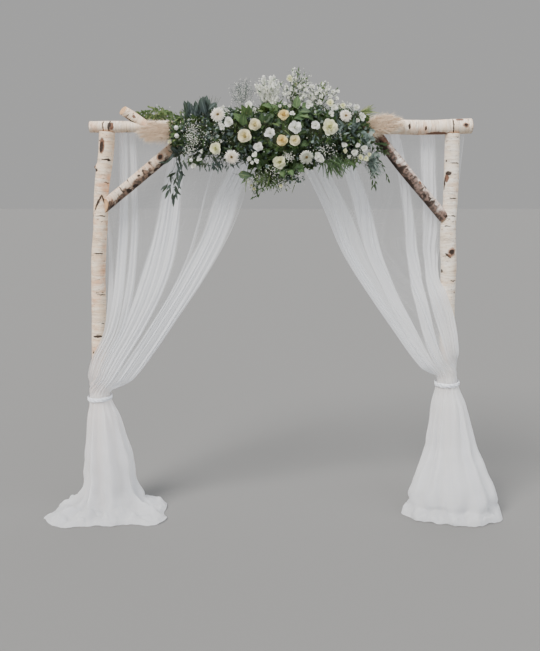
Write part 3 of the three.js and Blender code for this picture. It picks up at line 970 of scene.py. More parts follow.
@dataclass
class Timber:
    """The frame of the arch: two posts, the forked crossbeam, two braces and the steel feet."""

    beam_height: float = 2046.0
    plate_top: float = 10.3
    post_top: float = 2017.0
    warm: BirchBark = BirchBark()
    light: BirchBark = BirchBark((0.80, 0.70, 0.57), (0.72, 0.56, 0.42), (0.90, 0.86, 0.78))
    ruddy: BirchBark = BirchBark((0.84, 0.69, 0.53), (0.76, 0.53, 0.38), (0.92, 0.84, 0.73))
    # Both braces darken on their undersides: weathered brown bark together with painted shade.
    leaning: BirchBark = BirchBark((0.74, 0.58, 0.44), (0.62, 0.42, 0.29), (0.84, 0.75, 0.64),
                                   shade_and_weather_side=74.0, shade_and_weather_share=0.95, patches=0.63)
    shaded: BirchBark = BirchBark((0.62, 0.52, 0.46), (0.40, 0.29, 0.24), (0.84, 0.80, 0.75), patches=0.565,
                                  dashes=0.64, crust_and_shade=(0.20, 0.125, 0.10), shade_and_weather_side=-66.0, shade_and_weather_share=1.45)

    @staticmethod
    def _upright(*line: Pair) -> list[Place]:
        """A path at Y 0 through points given by X and Z."""
        return [(x, 0, z) for x, z in line]

    def left_post(self) -> BirchLog:
        """The left post with its branch stub, sawn scar and dark dashes.

        Returns:
            The log.
        """
        path = self._upright((-929, self.plate_top), (-933, 300), (-935, 600), (-933, 850), (-928, 1100),
                             (-927, 1300), (-919, 1430), (-911, 1520), (-901, 1720), (-875, 1900),
                             (-866, self.post_top))
        radii = (42, 41, 40, 38, 37, 36.5, 36.5, 36, 37.5, 40, 41)
        marks = marks_of(
            STAIN=((1936, -24, 17, 42, 1.5), (1822, -78, 13, 10, 13.0)),
            DASH=((1867, 20, 26, 4), (1749, 52, 18, 3), (1573, 22, 20, 3), (1158, 38, 26, 3)),
            BLOTCH=((1928, -28, 12, 32, 0.0, 8), (1867, 34, 13, 6), (1806, -62, 14, 8),
                    (1640, -16, 6, 48, 0.0, 24), (1660, 30, 5, 26, 0.0, -22), (1376, 8, 26, 3.5),
                    (1004, 44, 9, 3), (937, 4, 26, 7, 1.5), (849, -38, 5, 5), (719, -46, 6, 5),
                    (1700, 150, 22, 5)),
            KNOT=((1290, 160, 18, 20, 3.0),))
        return BirchLog("left_post", path, radii, self.warm, marks, seed=3)

    def right_post(self) -> BirchLog:
        """The right post with two knots and a bark ridge.

        Returns:
            The log.
        """
        path = self._upright((929, self.plate_top), (929, 300), (929, 600), (926, 920), (922, 1100),
                             (924, 1250), (925, 1330), (919.5, 1430), (919, 1520), (926, 1620), (929, 1720),
                             (930, 1900), (931, self.post_top - 8))
        radii = (42, 41.5, 41, 41, 40.5, 40.5, 41, 41.5, 38.5, 36, 37.5, 38, 38)
        marks = marks_of(
            STAIN=((1770, -52, 12, 24),),
            DASH=((1846, 14, 26, 3.5), (1664, 10, 20, 4), (1573, 21, 14, 3), (1520, -20, 16, 3),
                  (1232, 29, 16, 3)),
            BLOTCH=((1857, -60, 6, 5), (1794, -40, 19, 10, 3.0), (1741, -76, 8, 36, 2.0, 6),
                    (1366, -12, 20, 6, 0.0, 40), (1282, -70, 9, 10, 1.5), (1100, 140, 24, 6)),
            KNOT=((1384, 14, 17, 20, 3.5, 20), (1480, 170, 16, 18, 3.0)))
        return BirchLog("right_post", path, radii, self.light, marks, seed=11)

    def beam(self) -> BirchLog:
        """The crossbeam, thicker to the right.

        Returns:
            The log.
        """
        height = self.beam_height
        path = self._upright((-954, height - 2), (-560, height), (-160, height + 1), (240, height),
                             (600, height - 2), (800, height - 5), (1027, height + 3))
        marks = marks_of(
            STAIN=((118, 0, 22, 11), (1916, -58, 12, 20, 3.0), (1800, 62, 12, 60)),
            BLOTCH=((73, -12, 60, 2.5), (108, -30, 22, 5, 1.5), (102, 8, 26, 6), (1881, 0, 60, 3.5, 1.0),
                    (1654, -4, 16, 6, 1.0), (1739, 10, 11, 5), (400, 150, 30, 4)),
            KNOT=((1944, -4, 11, 12, 2.5), (900, 165, 16, 18, 3.0)))
        return BirchLog("crossbeam", path, (29.5, 39.5), self.ruddy, marks, seed=21)

    def stub(self) -> BirchLog:
        """The fork stub, sawn aslant so that its rings face the front.

        Returns:
            The log.
        """
        height = self.beam_height
        path = [(-650, -6, height - 6), (-714.5, -9, height / 2 + 1062.5), (-779, -12, 2127)]
        # The dark blotch along the stub's underside is painted shadow in the crotch between the stub and
        # the beam.
        marks = marks_of(STAIN=((96, 10, 8, 12),), DASH=((130, -28, 12, 3),), BLOTCH=((84, -64, 7, 56),))
        return BirchLog("fork_stub", path, (27, 25), self.warm, marks, 40, 40, 31, end_cut=(0.6, 0.1))

    def left_brace(self) -> BirchLog:
        """The left brace, mottled dark along its underside: brown bark patches together with painted shade.

        Returns:
            The log.
        """
        path = [(-896, -14, 1625), (-654, -9, 1822.5), (-412, -4, 2030)]
        # The blotches at turns 52 to 66 lie along the underside: dark bark patches that also paint its
        # shade.
        marks = marks_of(
            BLOTCH=((141, -16, 30, 3), (196, -50, 16, 3), (168, 52, 16, 13), (210, 56, 14, 16),
                    (92, 66, 10, 14), (40, 66, 10, 16), (396, 62, 12, 24), (344, 58, 10, 14),
                    (303, 62, 10, 12), (290, -20, 8, 6), (256, -8, 6, 8)),
            KNOT=((404, -10, 15, 17, 3.0),))
        return BirchLog("left_brace", path, (31.5, 31), self.leaning, marks, 90, 44, 41, (1.5, -0.6))

    def right_brace(self) -> BirchLog:
        """The right brace, brown and ragged on its underside with painted shade there, pale at its lower
        tip, and darkened at its upper end by painted shadow.

        Returns:
            The log.
        """
        path = [(897, -6, 1572), (716, -5, 1783), (535, -4, 2004)]
        # The blotches at turns -40 to -66 lie along the underside and also paint its shade; the patches at
        # 500 and 520 mm, by the upper end, are painted shadow under the beam and the pampas.
        marks = marks_of(
            STAIN=((226, 36, 8, 10), (520, 20, 18, 34)), DASH=((196, 20, 14, 4),),
            BLOTCH=((118, -60, 12, 22), (128, 4, 10, 5), (160, -16, 7, 9), (262, -62, 14, 44),
                    (380, -66, 12, 60), (500, -40, 20, 40)))
        return BirchLog("right_brace", path, (30, 28.5), self.shaded, marks, 90, 44, 51)

    def build(self) -> None:
        """Make every log and dress the steel feet."""
        sawn = SawnWood().material()
        for logs in ((self.left_post(),), (self.right_post(),), (self.left_brace(),), (self.right_brace(),),
                     (self.beam(), self.stub())):
            shape, name = Shape(), logs[0].name
            for number, piece in enumerate(logs):
                piece.gather(shape, (2 * number, 1))
            finishes = [piece.dressing() for piece in logs]
            finishes.insert(1, sawn)
            shape.piece(f"{name}_log", finishes, name, "birch_bark")
        paint = FootPaint().material()
        for side in ("left", "right"):
            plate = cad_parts[f"{side}_base_plate"]
            plate.data.materials.clear()
            plate.data.materials.append(paint)


# Cloth

class Side(Enum):
    """Which half of the arch a drape hangs on; the value is the sign of X."""

    LEFT = -1
    RIGHT = 1


@dataclass(frozen=True)
class Bundle:
    """A band of gathered cloth.

    Each row holds a share of the way down to the waist, and the shares of the width between
    which the band lies there.
    """

    rows: Sequence[Place]
    fullness: float = 3.0
    cover: float = 0.95
    soft: float = 0.016

    def share(self, v: Array, u: Array) -> Array:
        """How far places lie inside the band, from 0 to 1.

        Args:
            v: shares of the way down.
            u: shares of the width.

        Returns:
            A value for each place.
        """
        given = np.array(self.rows)
        low, high = (softened(np.interp(v, given[:, 0], given[:, k]), 7)[:, None] for k in (1, 2))
        return ease((u - low) / self.soft + 0.5) * ease((high - u) / self.soft + 0.5)


@dataclass
class Drape:
    """One sheer panel from the beam, round the post at the waist, to the puddle; millimetres."""

    side: Side
    post: BirchLog
    outer: Sequence[Place]
    inner: Sequence[Place]
    waist: Place
    skirt: Sequence[float]
    puddle: Sequence[float]
    flare: float
    bundles: Sequence[Bundle]
    seed: int
    bow: float = 76.0
    cloth_width: float = 0.90
    cloth_length: float = 2.36
    folds: int = 15
    steps: int = 18
    upper_rows: int = 120
    lower_rows: int = 96
    wrap: float = 168.0
    veil: float = 0.20
    dense: float = 0.97
    foot_reach: float = 0.183
    foot_top: float = 0.0135

    def __post_init__(self) -> None:
        """Lay out columns and rows; stages run from -1 at the beam by 0 at the waist to 1 at the hem."""
        self.name = f"{self.side.name.lower()}_drape"
        self.cloth = np.linspace(0, 1, self.folds * self.steps + 1)
        self.turn = np.radians(self.wrap) * (2 * self.cloth - 1) * -self.side.value
        self.v = np.linspace(0, 1, self.upper_rows)
        self.down = np.linspace(0, 1, self.lower_rows + 1)[1:]
        self.stages = np.concatenate([self.v - 1, self.down])
        self.u = self._columns()

    def _columns(self) -> Array:
        """Where the cloth's columns lie on each row above the waist, as shares of its width.

        Returns:
            One row of shares for each row of points.
        """
        row = np.linspace(0, 1, 2001)
        fullness = 1 + sum(bundle.fullness * bundle.share(self.v, row) for bundle in self.bundles)
        fullness = between(fullness, 2.0, 0.75 * ease((self.v - 0.5) / 0.4)[:, None])
        running = np.cumsum(fullness, axis=1)
        running = (running - running[:, :1]) / (running[:, -1:] - running[:, :1])
        return np.stack([np.interp(self.cloth, line, row) for line in running])

    def _ring(self, radius: Array) -> Array:
        """Points in millimetres round the post at height 0, at one radius a row or a point."""
        x = self.waist[0] + radius * np.sin(self.turn)
        return np.stack([x, -radius * np.cos(self.turn), np.zeros_like(x)], -1)

    def _hung(self) -> Array:
        """The smooth surface from the beam to the waist, in metres and without its folds.

        Returns:
            Rows of points.
        """
        v, u = self.v, self.u[..., None]
        first, last = spline(self.outer, v)[:, None], spline(self.inner, v)[:, None]
        forward = self.bow * ease((v - 0.45) / 0.55)
        middle = (first + last) / 2 - np.outer(forward, [0, 1, 0])[:, None]
        row = first * (1 - u) ** 2 + middle * 2 * u * (1 - u) + last * u**2
        around = self._ring(np.full((self.upper_rows, 1), self.waist[2] - 5.0))
        around[..., 2] = row[..., 2]
        return between(row, around, ease((v - 0.82) / 0.18)[:, None, None]) * MM

    def _fallen(self) -> Array:
        """The smooth surface from the waist to the hem of the puddle, in metres.

        Returns:
            Rows of points.
        """
        _, height, radius = self.waist
        profile = [(0, 0, radius - 5, height), (0.15, 0, 0.76 * radius, 0.93 * height),
                   (0.36, 0, 0.6 * radius, 0.84 * height), (0.62, 0, 0.3 * radius, 0.66 * height),
                   (0.85, 0, 6, 0.48 * height)]
        for share, gap, level in ((0, -6, 0.2 * height), (0.08, 4, 84), (0.3, -6, 52), (0.52, -6, 38),
                                  (0.74, -6, 26), (0.9, -6, 15), (1, -6, 4)):
            kept = (1 - share) * (1 - self.flare)
            profile.append((kept, 1 - kept, gap, level))
        shares = spline(profile, self.down)
        around = (self.turn - np.pi / 2) % (2 * np.pi)
        skirt, puddle = loop_values(self.skirt, around), loop_values(self.puddle, around)
        points = self._ring(np.outer(shares[:, 0], skirt) + np.outer(shares[:, 1], puddle) + shares[:, 2:3])
        points[..., 2] = shares[:, 3:4]
        return points * MM

    def build(self, finish: Finish) -> None:
        """Make the drape.

        Args:
            finish: its cloth.
        """
        base = self._clear_of_post(np.vstack([self._hung(), self._fallen()]))
        cover = np.vstack([self._covering(), np.full((self.lower_rows, len(self.cloth)), self.dense)])
        points, cover = self._pleated(base, cover)
        points = self._crumpled(points)
        spread = np.broadcast_to(self.cloth * self.cloth_width, cover.shape)
        length = np.linspace(0, self.cloth_length, len(points))[:, None]
        marks = np.stack([spread, np.broadcast_to(length, cover.shape), cover], -1)
        shape = Shape()
        shape.add(points, grid_faces(*cover.shape), marks)
        piece = shape.piece(f"{self.name}_voile", (finish,), self.name, "voile")

    def _covering(self) -> Array:
        """How much of the view each point above the waist covers, before its folds are counted.

        Returns:
            A share for each point.
        """
        seen = np.full(self.u.shape, 1 - self.veil)
        for bundle in self.bundles:
            seen = seen * (1 - bundle.cover * bundle.share(self.v, self.u))
        edge = np.exp(-self.u / 0.006) + np.exp(-(1 - self.u) / 0.006)
        seen = seen * (1 - 0.4 * np.clip(edge, 0, 1))
        return between(1 - seen, self.dense, ease((self.v - 0.66) / 0.26)[:, None])

    def _clear_of_post(self, base: Array) -> Array:
        """Push the smooth surface away from the post as far as the folds need.

        Args:
            base: points of the surface.

        Returns:
            The moved points.
        """
        t = np.linspace(0, 1, 200)
        axis, radius = self.post.axis(t), self.post.radius(t)
        middle = np.zeros_like(base[..., :2])
        middle[..., 0] = np.interp(base[..., 2], axis[:, 2], axis[:, 0])
        need = np.interp(base[..., 2], axis[:, 2], radius) + 0.008
        away = base[..., :2] - middle
        push = np.maximum(need / np.maximum(np.linalg.norm(away, axis=-1), 1e-6), 1.0)
        return np.concatenate([middle + away * push[..., None], base[..., 2:]], -1)

    def _pleated(self, base: Array, cover: Array) -> tuple[Array, Array]:
        """Fold the surface so that each row holds the cloth's width.

        Args:
            base: the smooth surface.
            cover: share of the view that it covers.

        Returns:
            The folded points and their cover.
        """
        across, down = np.gradient(base, axis=1), np.gradient(base, axis=0)
        pitch = np.linalg.norm(across, axis=-1) * (len(self.cloth) - 1)
        outward = unit(np.cross(unit(across), unit(down))) * np.array([1, 1, 0.3])
        outward = unit(outward) * -self.side.value
        tight = np.clip(pitch / self.cloth_width, 0.02, 1.0)
        height = np.linspace(0, 1, len(base))[:, None]
        place = np.stack(np.broadcast_arrays(self.cloth, height * 0.35, 0.0), -1)
        drift, vary, second = (Ripple(self.seed + step, size).at(place)
                               for step, size in ((0, 0.16), (7, 0.09), (9, 0.22)))
        leg = self.cloth_width / self.folds / 2
        depth = 0.5 * leg * np.sqrt(1 - tight**2) * (0.25 + 0.20 * vary)
        depth *= (1 - 0.5 * np.exp(-((self.stages / 0.1) ** 2)))[:, None]
        depth *= ease(np.arange(len(base)) / 5)[:, None] * 0.85 + 0.15
        loose = ease((self.stages - 0.05) / 0.4)[:, None]
        round_trip = 2 * np.pi * self.cloth
        phase = self.folds * round_trip + 2.4 * drift
        finer = np.sin(self.folds * 1.83 * round_trip + 2.6 * second)
        fold = depth * (np.sin(phase) + 0.25 * finer) * (1 - 0.7 * loose)
        calm = 1 - 0.5 * ease((self.stages - 0.7) / 0.3)[:, None]
        fold += 0.014 * loose * calm * np.sin(10 * round_trip + 2.2 * second) * (1 + 0.5 * vary)
        slope = 2 * np.pi * self.folds * depth * np.cos(phase) / np.maximum(pitch, 0.05)
        seen = (1 - cover) ** np.hypot(1.0, 0.25 * slope)
        return base + outward * fold[..., None], np.clip(1 - seen, 0.0, 0.985)

    def _crumpled(self, points: Array) -> Array:
        """Rumple the puddle and lay it on the floor and over the steel foot.

        Args:
            points: the folded surface.

        Returns:
            The moved points.
        """
        def uneven(step: int, size: float) -> Array:
            """Seeded unevenness at each point."""
            return Ripple(self.seed + step, size, 12).at(points)

        floor = ease((self.stages - 0.5) / 0.25)[:, None]
        side = ease((self.stages - 0.15) / 0.5)[:, None] * 0.009
        rumple = np.abs(uneven(20, 0.12) * 0.7 + uneven(21, 0.05) * 0.35)
        made = points.copy()
        made[..., 2] += floor * rumple * 0.018 * (1 - 0.6 * ease((self.stages - 0.85) / 0.15)[:, None])
        made[..., 0] += uneven(22, 0.13) * side
        made[..., 1] += uneven(23, 0.13) * side
        off_foot = np.hypot(made[..., 0] - self.waist[0] * MM, made[..., 1]) - self.foot_reach
        beside = self.foot_top * ease(1 - off_foot / 0.03) + 0.0015
        lowest = np.where(off_foot < 0, self.foot_top, beside)
        made[..., 2] = np.maximum(made[..., 2], lowest)
        return made


@dataclass
class Tie:
    """The gathered band round a drape's waist; sizes from its solid, in metres."""

    side: Side
    width: float = 0.024
    wrinkles: int = 17

    def build(self, finish: Finish) -> None:
        """Make the band.

        Args:
            finish: its cloth.
        """
        node = f"{self.side.name.lower()}_drape_tie"
        low, high = box_of(node)
        centre, radius = (low + high) / 2, (high[0] - low[0]) / 2
        turn, rise = np.linspace(0, 2 * np.pi, 181), np.linspace(-1, 1, 11)[:, None]
        pinch = 1 - 0.3 * np.exp(-(((turn - 1.2) / 0.35) ** 2)) - 0.12 * np.sin(3 * turn) ** 2
        place = np.stack(np.broadcast_arrays(*polar(0.06, turn), rise * 0.09), -1)
        crease = Ripple(5 + self.side.value, 0.05).at(place) + np.sin(self.wrinkles * turn + 3 * rise)
        overlap = 0.002 * ease((turn - 5.6) / 0.6)
        wide = radius + 0.001 + 0.003 * (1 - rise**2) + crease * 0.0012 + overlap
        z = centre[2] + rise * pinch * self.width / 2 + 0.004 * np.sin(turn + 0.6)
        x, y = polar(wide, turn)
        points = np.stack([centre[0] + x, centre[1] + y, z], -1)
        shape = Shape()
        shape.add(points, grid_faces(*points.shape[:2]), points)
        piece = shape.piece(f"{node}_band", (finish,), node, "ribbon")


@dataclass
class Hangings:
    """Both drapes and their ties."""

    timber: Timber

    def left(self) -> Drape:
        """The left drape: two bundles beside the post, a broad one in the middle and the inner edge."""
        return Drape(
            side=Side.LEFT, post=self.timber.left_post(), waist=(-932, 612, 57), seed=101,
            outer=[(-914, 41, 2050), (-905, 50, 1760), (-884, 50, 1480), (-876, 14, 1260),
                   (-878, -38, 1080), (-896, -54, 965), (-962, -54, 820), (-988, -30, 700), (-990, 6, 612)],
            inner=[(14, 41, 2050), (-60, 46, 1900), (-138, 50, 1740), (-192, 46, 1580), (-262, 36, 1430),
                   (-380, 16, 1230), (-505, 0, 1045), (-620, -14, 875), (-730, -26, 730), (-812, -12, 655),
                   (-873, 6, 612)],
            skirt=(186, 165, 112, 92, 84, 88, 112, 165),
            puddle=(350, 250, 236, 250, 246, 206, 212, 318, 306, 246, 280, 405),
            flare=0.06,
            bundles=(
                Bundle([(0.15, -0.02, 0.006), (0.24, -0.02, 0.022), (0.45, -0.02, 0.045),
                        (0.7, -0.02, 0.08)], fullness=2.0, cover=0.6),
                Bundle([(0.0, 0.115, 0.155), (0.15, 0.11, 0.16), (0.24, 0.082, 0.15), (0.35, 0.057, 0.135),
                        (0.44, 0.047, 0.14), (0.7, 0.03, 0.18)]),
                Bundle([(0.0, 0.165, 0.195), (0.15, 0.185, 0.225), (0.25, 0.175, 0.225),
                        (0.37, 0.16, 0.222), (0.45, 0.15, 0.24), (0.7, 0.2, 0.3)], cover=0.78),
                Bundle([(0.0, 0.43, 0.52), (0.15, 0.403, 0.52), (0.27, 0.36, 0.53), (0.39, 0.29, 0.555),
                        (0.47, 0.265, 0.565), (0.7, 0.25, 0.6)], soft=0.024),
                Bundle([(0.0, 0.70, 0.715), (0.19, 0.698, 0.712), (0.3, 0.675, 0.695), (0.39, 0.678, 0.705),
                        (0.55, 0.66, 0.7)], cover=0.55, soft=0.01),
                Bundle([(0.0, 0.85, 0.98), (0.17, 0.81, 0.965), (0.26, 0.755, 0.955), (0.33, 0.77, 0.97),
                        (0.44, 0.70, 0.985), (0.51, 0.68, 0.99), (0.7, 0.64, 1.0)], soft=0.04),
            ),
        )

    def right(self) -> Drape:
        """The right drape: two bands along the inner edge and two beside the post."""
        return Drape(
            side=Side.RIGHT, post=self.timber.right_post(), waist=(929, 690, 57), seed=202,
            outer=[(1009, 44, 2050), (996, 50, 1892), (982, 56, 1740), (936, 62, 1540), (886, 54, 1390),
                   (874, 14, 1290), (902, -46, 1190), (948, -54, 1050), (974, -46, 900), (984, -20, 790),
                   (988, 6, 690)],
            inner=[(62, 41, 2050), (181, 48, 1795), (262, 49, 1630), (368, 37, 1385), (516, 12, 1148),
                   (632, -8, 982), (728, -26, 845), (812, -22, 745), (870, 6, 690)],
            skirt=(185, 165, 130, 110, 114, 112, 126, 165),
            puddle=(260, 304, 290, 250, 236, 200, 212, 272, 236, 240, 285, 318),
            flare=0.6,
            bundles=(
                Bundle([(0.0, 0.96, 1.0), (0.15, 0.945, 1.01), (0.27, 0.93, 1.01), (0.34, 0.88, 1.01),
                        (0.7, 0.86, 1.01)], cover=0.6),
                Bundle([(0.0, 0.87, 0.94), (0.15, 0.855, 0.935), (0.27, 0.815, 0.92), (0.34, 0.765, 0.99),
                        (0.41, 0.77, 0.985), (0.53, 0.81, 0.99), (0.68, 0.8, 1.0)], cover=0.72),
                Bundle([(0.0, 0.70, 0.76), (0.16, 0.67, 0.76), (0.31, 0.625, 0.765), (0.42, 0.605, 0.765),
                        (0.55, 0.66, 0.815), (0.71, 0.695, 0.89)]),
                Bundle([(0.0, 0.373, 0.425), (0.2, 0.35, 0.415), (0.31, 0.285, 0.36), (0.44, 0.205, 0.345),
                        (0.59, 0.305, 0.5), (0.73, 0.45, 0.66)]),
                Bundle([(0.0, 0.17, 0.252), (0.11, 0.17, 0.26), (0.2, 0.17, 0.26), (0.31, 0.085, 0.21),
                        (0.46, -0.02, 0.145), (0.68, -0.02, 0.34)]),
            ),
        )

    def build(self) -> None:
        """Make the cloth."""
        voile = Voile().material()
        for drape in (self.left(), self.right()):
            drape.build(voile)
        band = Band().material()
        for side in Side:
            Tie(side).build(band)


# Leaves, petals and stems

class LeafForm(Enum):
    """Outlines of leaves."""

    LANCE = "narrow and pointed"
    STRAP = "long with a round tip"
    ROUND = "round, as eucalyptus"
    BROAD = "broad and pointed"
    NEEDLE = "very narrow"


LANCE, STRAP, ROUND, BROAD, NEEDLE = LeafForm


def leaf(form: LeafForm, rows: int = 5) -> Template:
    """A leaf of length 1 along Z, folded a little at its midrib.

    Args:
        form: its outline.
        rows: steps along it.

    Returns:
        The leaf.
    """
    run = np.linspace(0, 1, rows + 1)
    outlines = {
        LANCE: 0.13 * np.sin(np.pi * run**0.8) ** 0.8,
        STRAP: 0.15 * np.clip(1 - np.abs(2 * run - 1) ** 3.5, 0, 1) ** 0.5,
        ROUND: 0.42 * np.sqrt(np.clip(1 - (2 * run - 1) ** 2, 0, 1)),
        BROAD: 0.31 * np.sin(np.pi * run**0.75),
        NEEDLE: 0.035 * (1 - run) ** 0.4,
    }
    half = np.maximum(outlines[form], 0.012)
    across = np.array([-1.0, 0.0, 1.0])
    x = np.outer(half, across)
    z = np.broadcast_to(run[:, None], x.shape)
    y = 0.35 * np.abs(x) - 0.16 * z**2
    return Template.of(x, y, z, across, z, 0.0)


def faced(ways: Array, out: Array) -> Array:
    """Turns that point the local Z axis along ways, with the local Y side out.

    Args:
        ways: one a row.
        out: outward directions.

    Returns:
        A matrix for each.
    """
    z = unit(ways)
    x = unit(np.cross(out, z))
    return np.stack([x, np.cross(z, x), z], axis=-1)


@dataclass(frozen=True)
class Rosette:
    """A flower head of overlapping petals round a closed heart, of radius 1 and facing Z."""

    petals: int
    ruffle: float
    seed: int
    width: Pair = (100.0, 44.0)
    depth: float = 0.75
    heart: float = 0.2
    steps: int = 7

    def template(self) -> Template:
        """Make the head, petal by petal from the heart out.

        Returns:
            The head.
        """
        draws = np.random.default_rng(self.seed)
        made = self._closed_heart()
        for number in range(self.petals):
            outness = number / max(self.petals - 1, 1)
            turn = number * GOLDEN_TURN + draws.uniform(-0.3, 0.3)
            made = made.joined(self._petal(outness, turn, draws))
        return made

    def _closed_heart(self) -> Template:
        """The wrapped petals in the middle, with a spiral crease.

        Returns:
            The heart.
        """
        rise = np.linspace(0, 1, 9)[:, None]
        turn = np.linspace(0, 2 * np.pi, 16, endpoint=False)[None, :]
        crease = np.sin(2 * turn + 9 * rise)
        spread = self.heart * np.cos(np.pi / 2 * rise**2.2) * (1 + 0.13 * crease)
        height = self.depth * (-0.25 + 0.88 * rise)
        return Template.of(*polar(spread, turn), height, crease, 0.5 + 0.2 * rise, 0.45, True)

    def _petal(self, outness: float, turn: float, draws: Draws) -> Template:
        """One petal, which lies over the next one out like a shingle on a dome.

        Args:
            outness: 0 at the heart, 1 outermost.
            turn: where it stands.
            draws: random numbers.

        Returns:
            The petal.
        """
        run = np.linspace(0, 1, self.steps)[:, None]
        across = np.linspace(-1, 1, self.steps)[None, :]
        reach = run * (1 - 0.24 * np.abs(across) ** 2.6)
        tip = self.heart + (0.97 - self.heart) * outness**0.8 * draws.uniform(0.88, 1.06)
        crown = self.depth * (0.62 - 0.54 * outness**1.4) + draws.uniform(-0.07, 0.07)
        lip = np.clip((reach - 0.7) / 0.3, 0, 1) ** 2
        radius = 0.08 + (tip - 0.08) * reach**0.85 + 0.07 * outness * lip
        base = -0.3 * self.depth
        height = base + (crown - base) * np.sin(np.pi / 2 * reach) + 0.10 * (1 - 0.6 * outness) * lip
        half = math.radians(between(*self.width, outness)) * (0.6 + 0.4 * reach)
        wave = self.ruffle * reach**2 * np.sin(across * 6 + draws.uniform(0, 6))
        wave = wave * (0.4 + 0.6 * np.abs(across))
        spread = radius + wave * 0.5 + 0.04 * (draws.uniform(-1, 1) * across * reach)
        height = height + wave + 0.05 * across * draws.uniform(-1, 1)
        warmth = 0.8 * (1 - outness) * draws.uniform(0.5, 1)
        return Template.of(*polar(spread, turn + across * half), height, across, reach, warmth)


@dataclass(frozen=True)
class Daisy:
    """A gerbera of radius 1: rings of strap petals round a dome of florets, facing Z."""

    seed: int
    petals: int = 23
    eye: float = 0.25
    spikes: int = 110

    def rays(self) -> Template:
        """The strap petals, in two rings and a short inner one.

        Returns:
            The petals.
        """
        draws = np.random.default_rng(self.seed)
        made = None
        for ring, (outer, lift) in enumerate(((1.0, 0.0), (0.84, 0.06), (0.46, 0.10))):
            for number in range(self.petals):
                turn = (number + 0.5 * ring) * 2 * np.pi / self.petals + draws.uniform(-0.07, 0.07)
                petal = self._ray(outer * draws.uniform(0.88, 1.03), lift + draws.uniform(0, 0.06), turn,
                                  0.3 * ring + draws.uniform(0, 0.2))
                made = petal if made is None else made.joined(petal)
        return made

    @staticmethod
    def _ray(outer: float, lift: float, turn: float, tint: float) -> Template:
        """One strap petal.

        Args:
            outer: radius where it ends.
            lift: height of its base.
            turn: where it stands.
            tint: shade.

        Returns:
            The petal.
        """
        inner = 0.16
        run = np.linspace(0, 1, 6)[:, None]
        across = np.array([-1.0, 0.0, 1.0])[None, :]
        along = inner + (outer - inner) * run * (1 - 0.07 * np.abs(across) * run**3)
        half = 0.35 + 0.65 * np.sin(np.pi * np.clip(run * 0.62 + 0.12, 0, 1))
        side = across * 0.088 * half * (1 - 0.35 * run**6)
        z = lift + 0.16 * np.sin(np.pi * run * 0.8) * (outer - inner) + 0.5 * np.abs(side) - 0.14 * run**3
        c, s = math.cos(turn), math.sin(turn)
        return Template.of(along * c - side * s, along * s + side * c, z, across, run, tint)

    def florets(self) -> Template:
        """The dome of small pointed florets in the middle.

        Returns:
            The florets.
        """
        number = np.arange(self.spikes)
        share = np.sqrt((number + 0.5) / self.spikes)
        x, y = polar(share * self.eye, number * GOLDEN_TURN)
        base = np.stack([x, y, 0.12 + 0.07 * (1 - share**2)], -1)
        lean = np.stack([x, y, np.ones(self.spikes)], -1)
        points = np.array([(0.02, 0, 0), (0, 0.02, 0), (-0.02, 0, 0), (0, -0.02, 0), (0, 0, 0.06)])
        faces = np.array([(0, 1, 4), (1, 2, 4), (2, 3, 4), (3, 0, 4)])
        spike = Template(points, faces, np.tile([0.0, 0.5, 0.0], (5, 1)))
        return spike.copies(aimed(lean), base, tints=share)


def small_blossom() -> Template:
    """A five-petalled blossom of radius 1 that faces Z.

    Returns:
        The blossom.
    """
    turn = np.arange(10) * np.pi / 5
    reach = np.where(np.arange(10) % 2 == 0, 1.0, 0.42)
    rim = np.stack([*polar(reach, turn), 0.35 * reach], -1)
    points = np.vstack([rim, [[0, 0, 0]]])
    faces = np.array([(10, 9, 0, 1), (10, 1, 2, 3), (10, 3, 4, 5), (10, 5, 6, 7), (10, 7, 8, 9)])
    marks = np.vstack([np.tile([0.2, 0.95, 0.0], (10, 1)), [[0, 0.1, 0.4]]])
    return Template(points, faces, marks)


def bud() -> Template:
    """A closed bud of radius 1 along Z.

    Returns:
        The bud.
    """
    run = np.linspace(0, 1, 5)[:, None]
    turn = np.arange(6) * np.pi / 3
    wide = np.array([0.35, 0.85, 1.0, 0.7, 0.12])[:, None]
    return Template.of(*polar(wide, turn), run * 2.6 - 1.0, np.cos(turn), run, 0.0, True)


def sepals(look: Array, amount: int, lift: float) -> Array:
    """Turns for leaves that stand out round a direction.

    Args:
        look: the direction.
        amount: how many.
        lift: how far they lean to it.

    Returns:
        A matrix for each.
    """
    around = np.arange(amount) * 2 * np.pi / amount
    basis = aimed(look)[0]
    out = np.outer(np.cos(around), basis[:, 0]) + np.outer(np.sin(around), basis[:, 1])
    return aimed(out + look * lift, around)


def curved_paths(starts: Array, ends: Array, sag: float, steps: int = 5) -> Array:
    """Paths that bend by gravity.

    Args:
        starts, ends: of the paths.
        sag: height of the middle over the straight line, in metres.
        steps: points on a path.

    Returns:
        One path a row.
    """
    t = np.linspace(0, 1, steps)[None, :, None]
    path = starts[:, None] * (1 - t) + ends[:, None] * t
    return path + np.array([0, 0, 1.0]) * sag * 4 * t * (1 - t)


# Flowers and greenery

class Growth(Enum):
    """Number of each finish on a piece of greenery, as in the garden's greenery."""

    GREEN = 0
    GREY = 1
    WOODY = 2
    WHITE = 3
    CREAM = 4


GREEN, GREY, WOODY, WHITE, CREAM = Growth


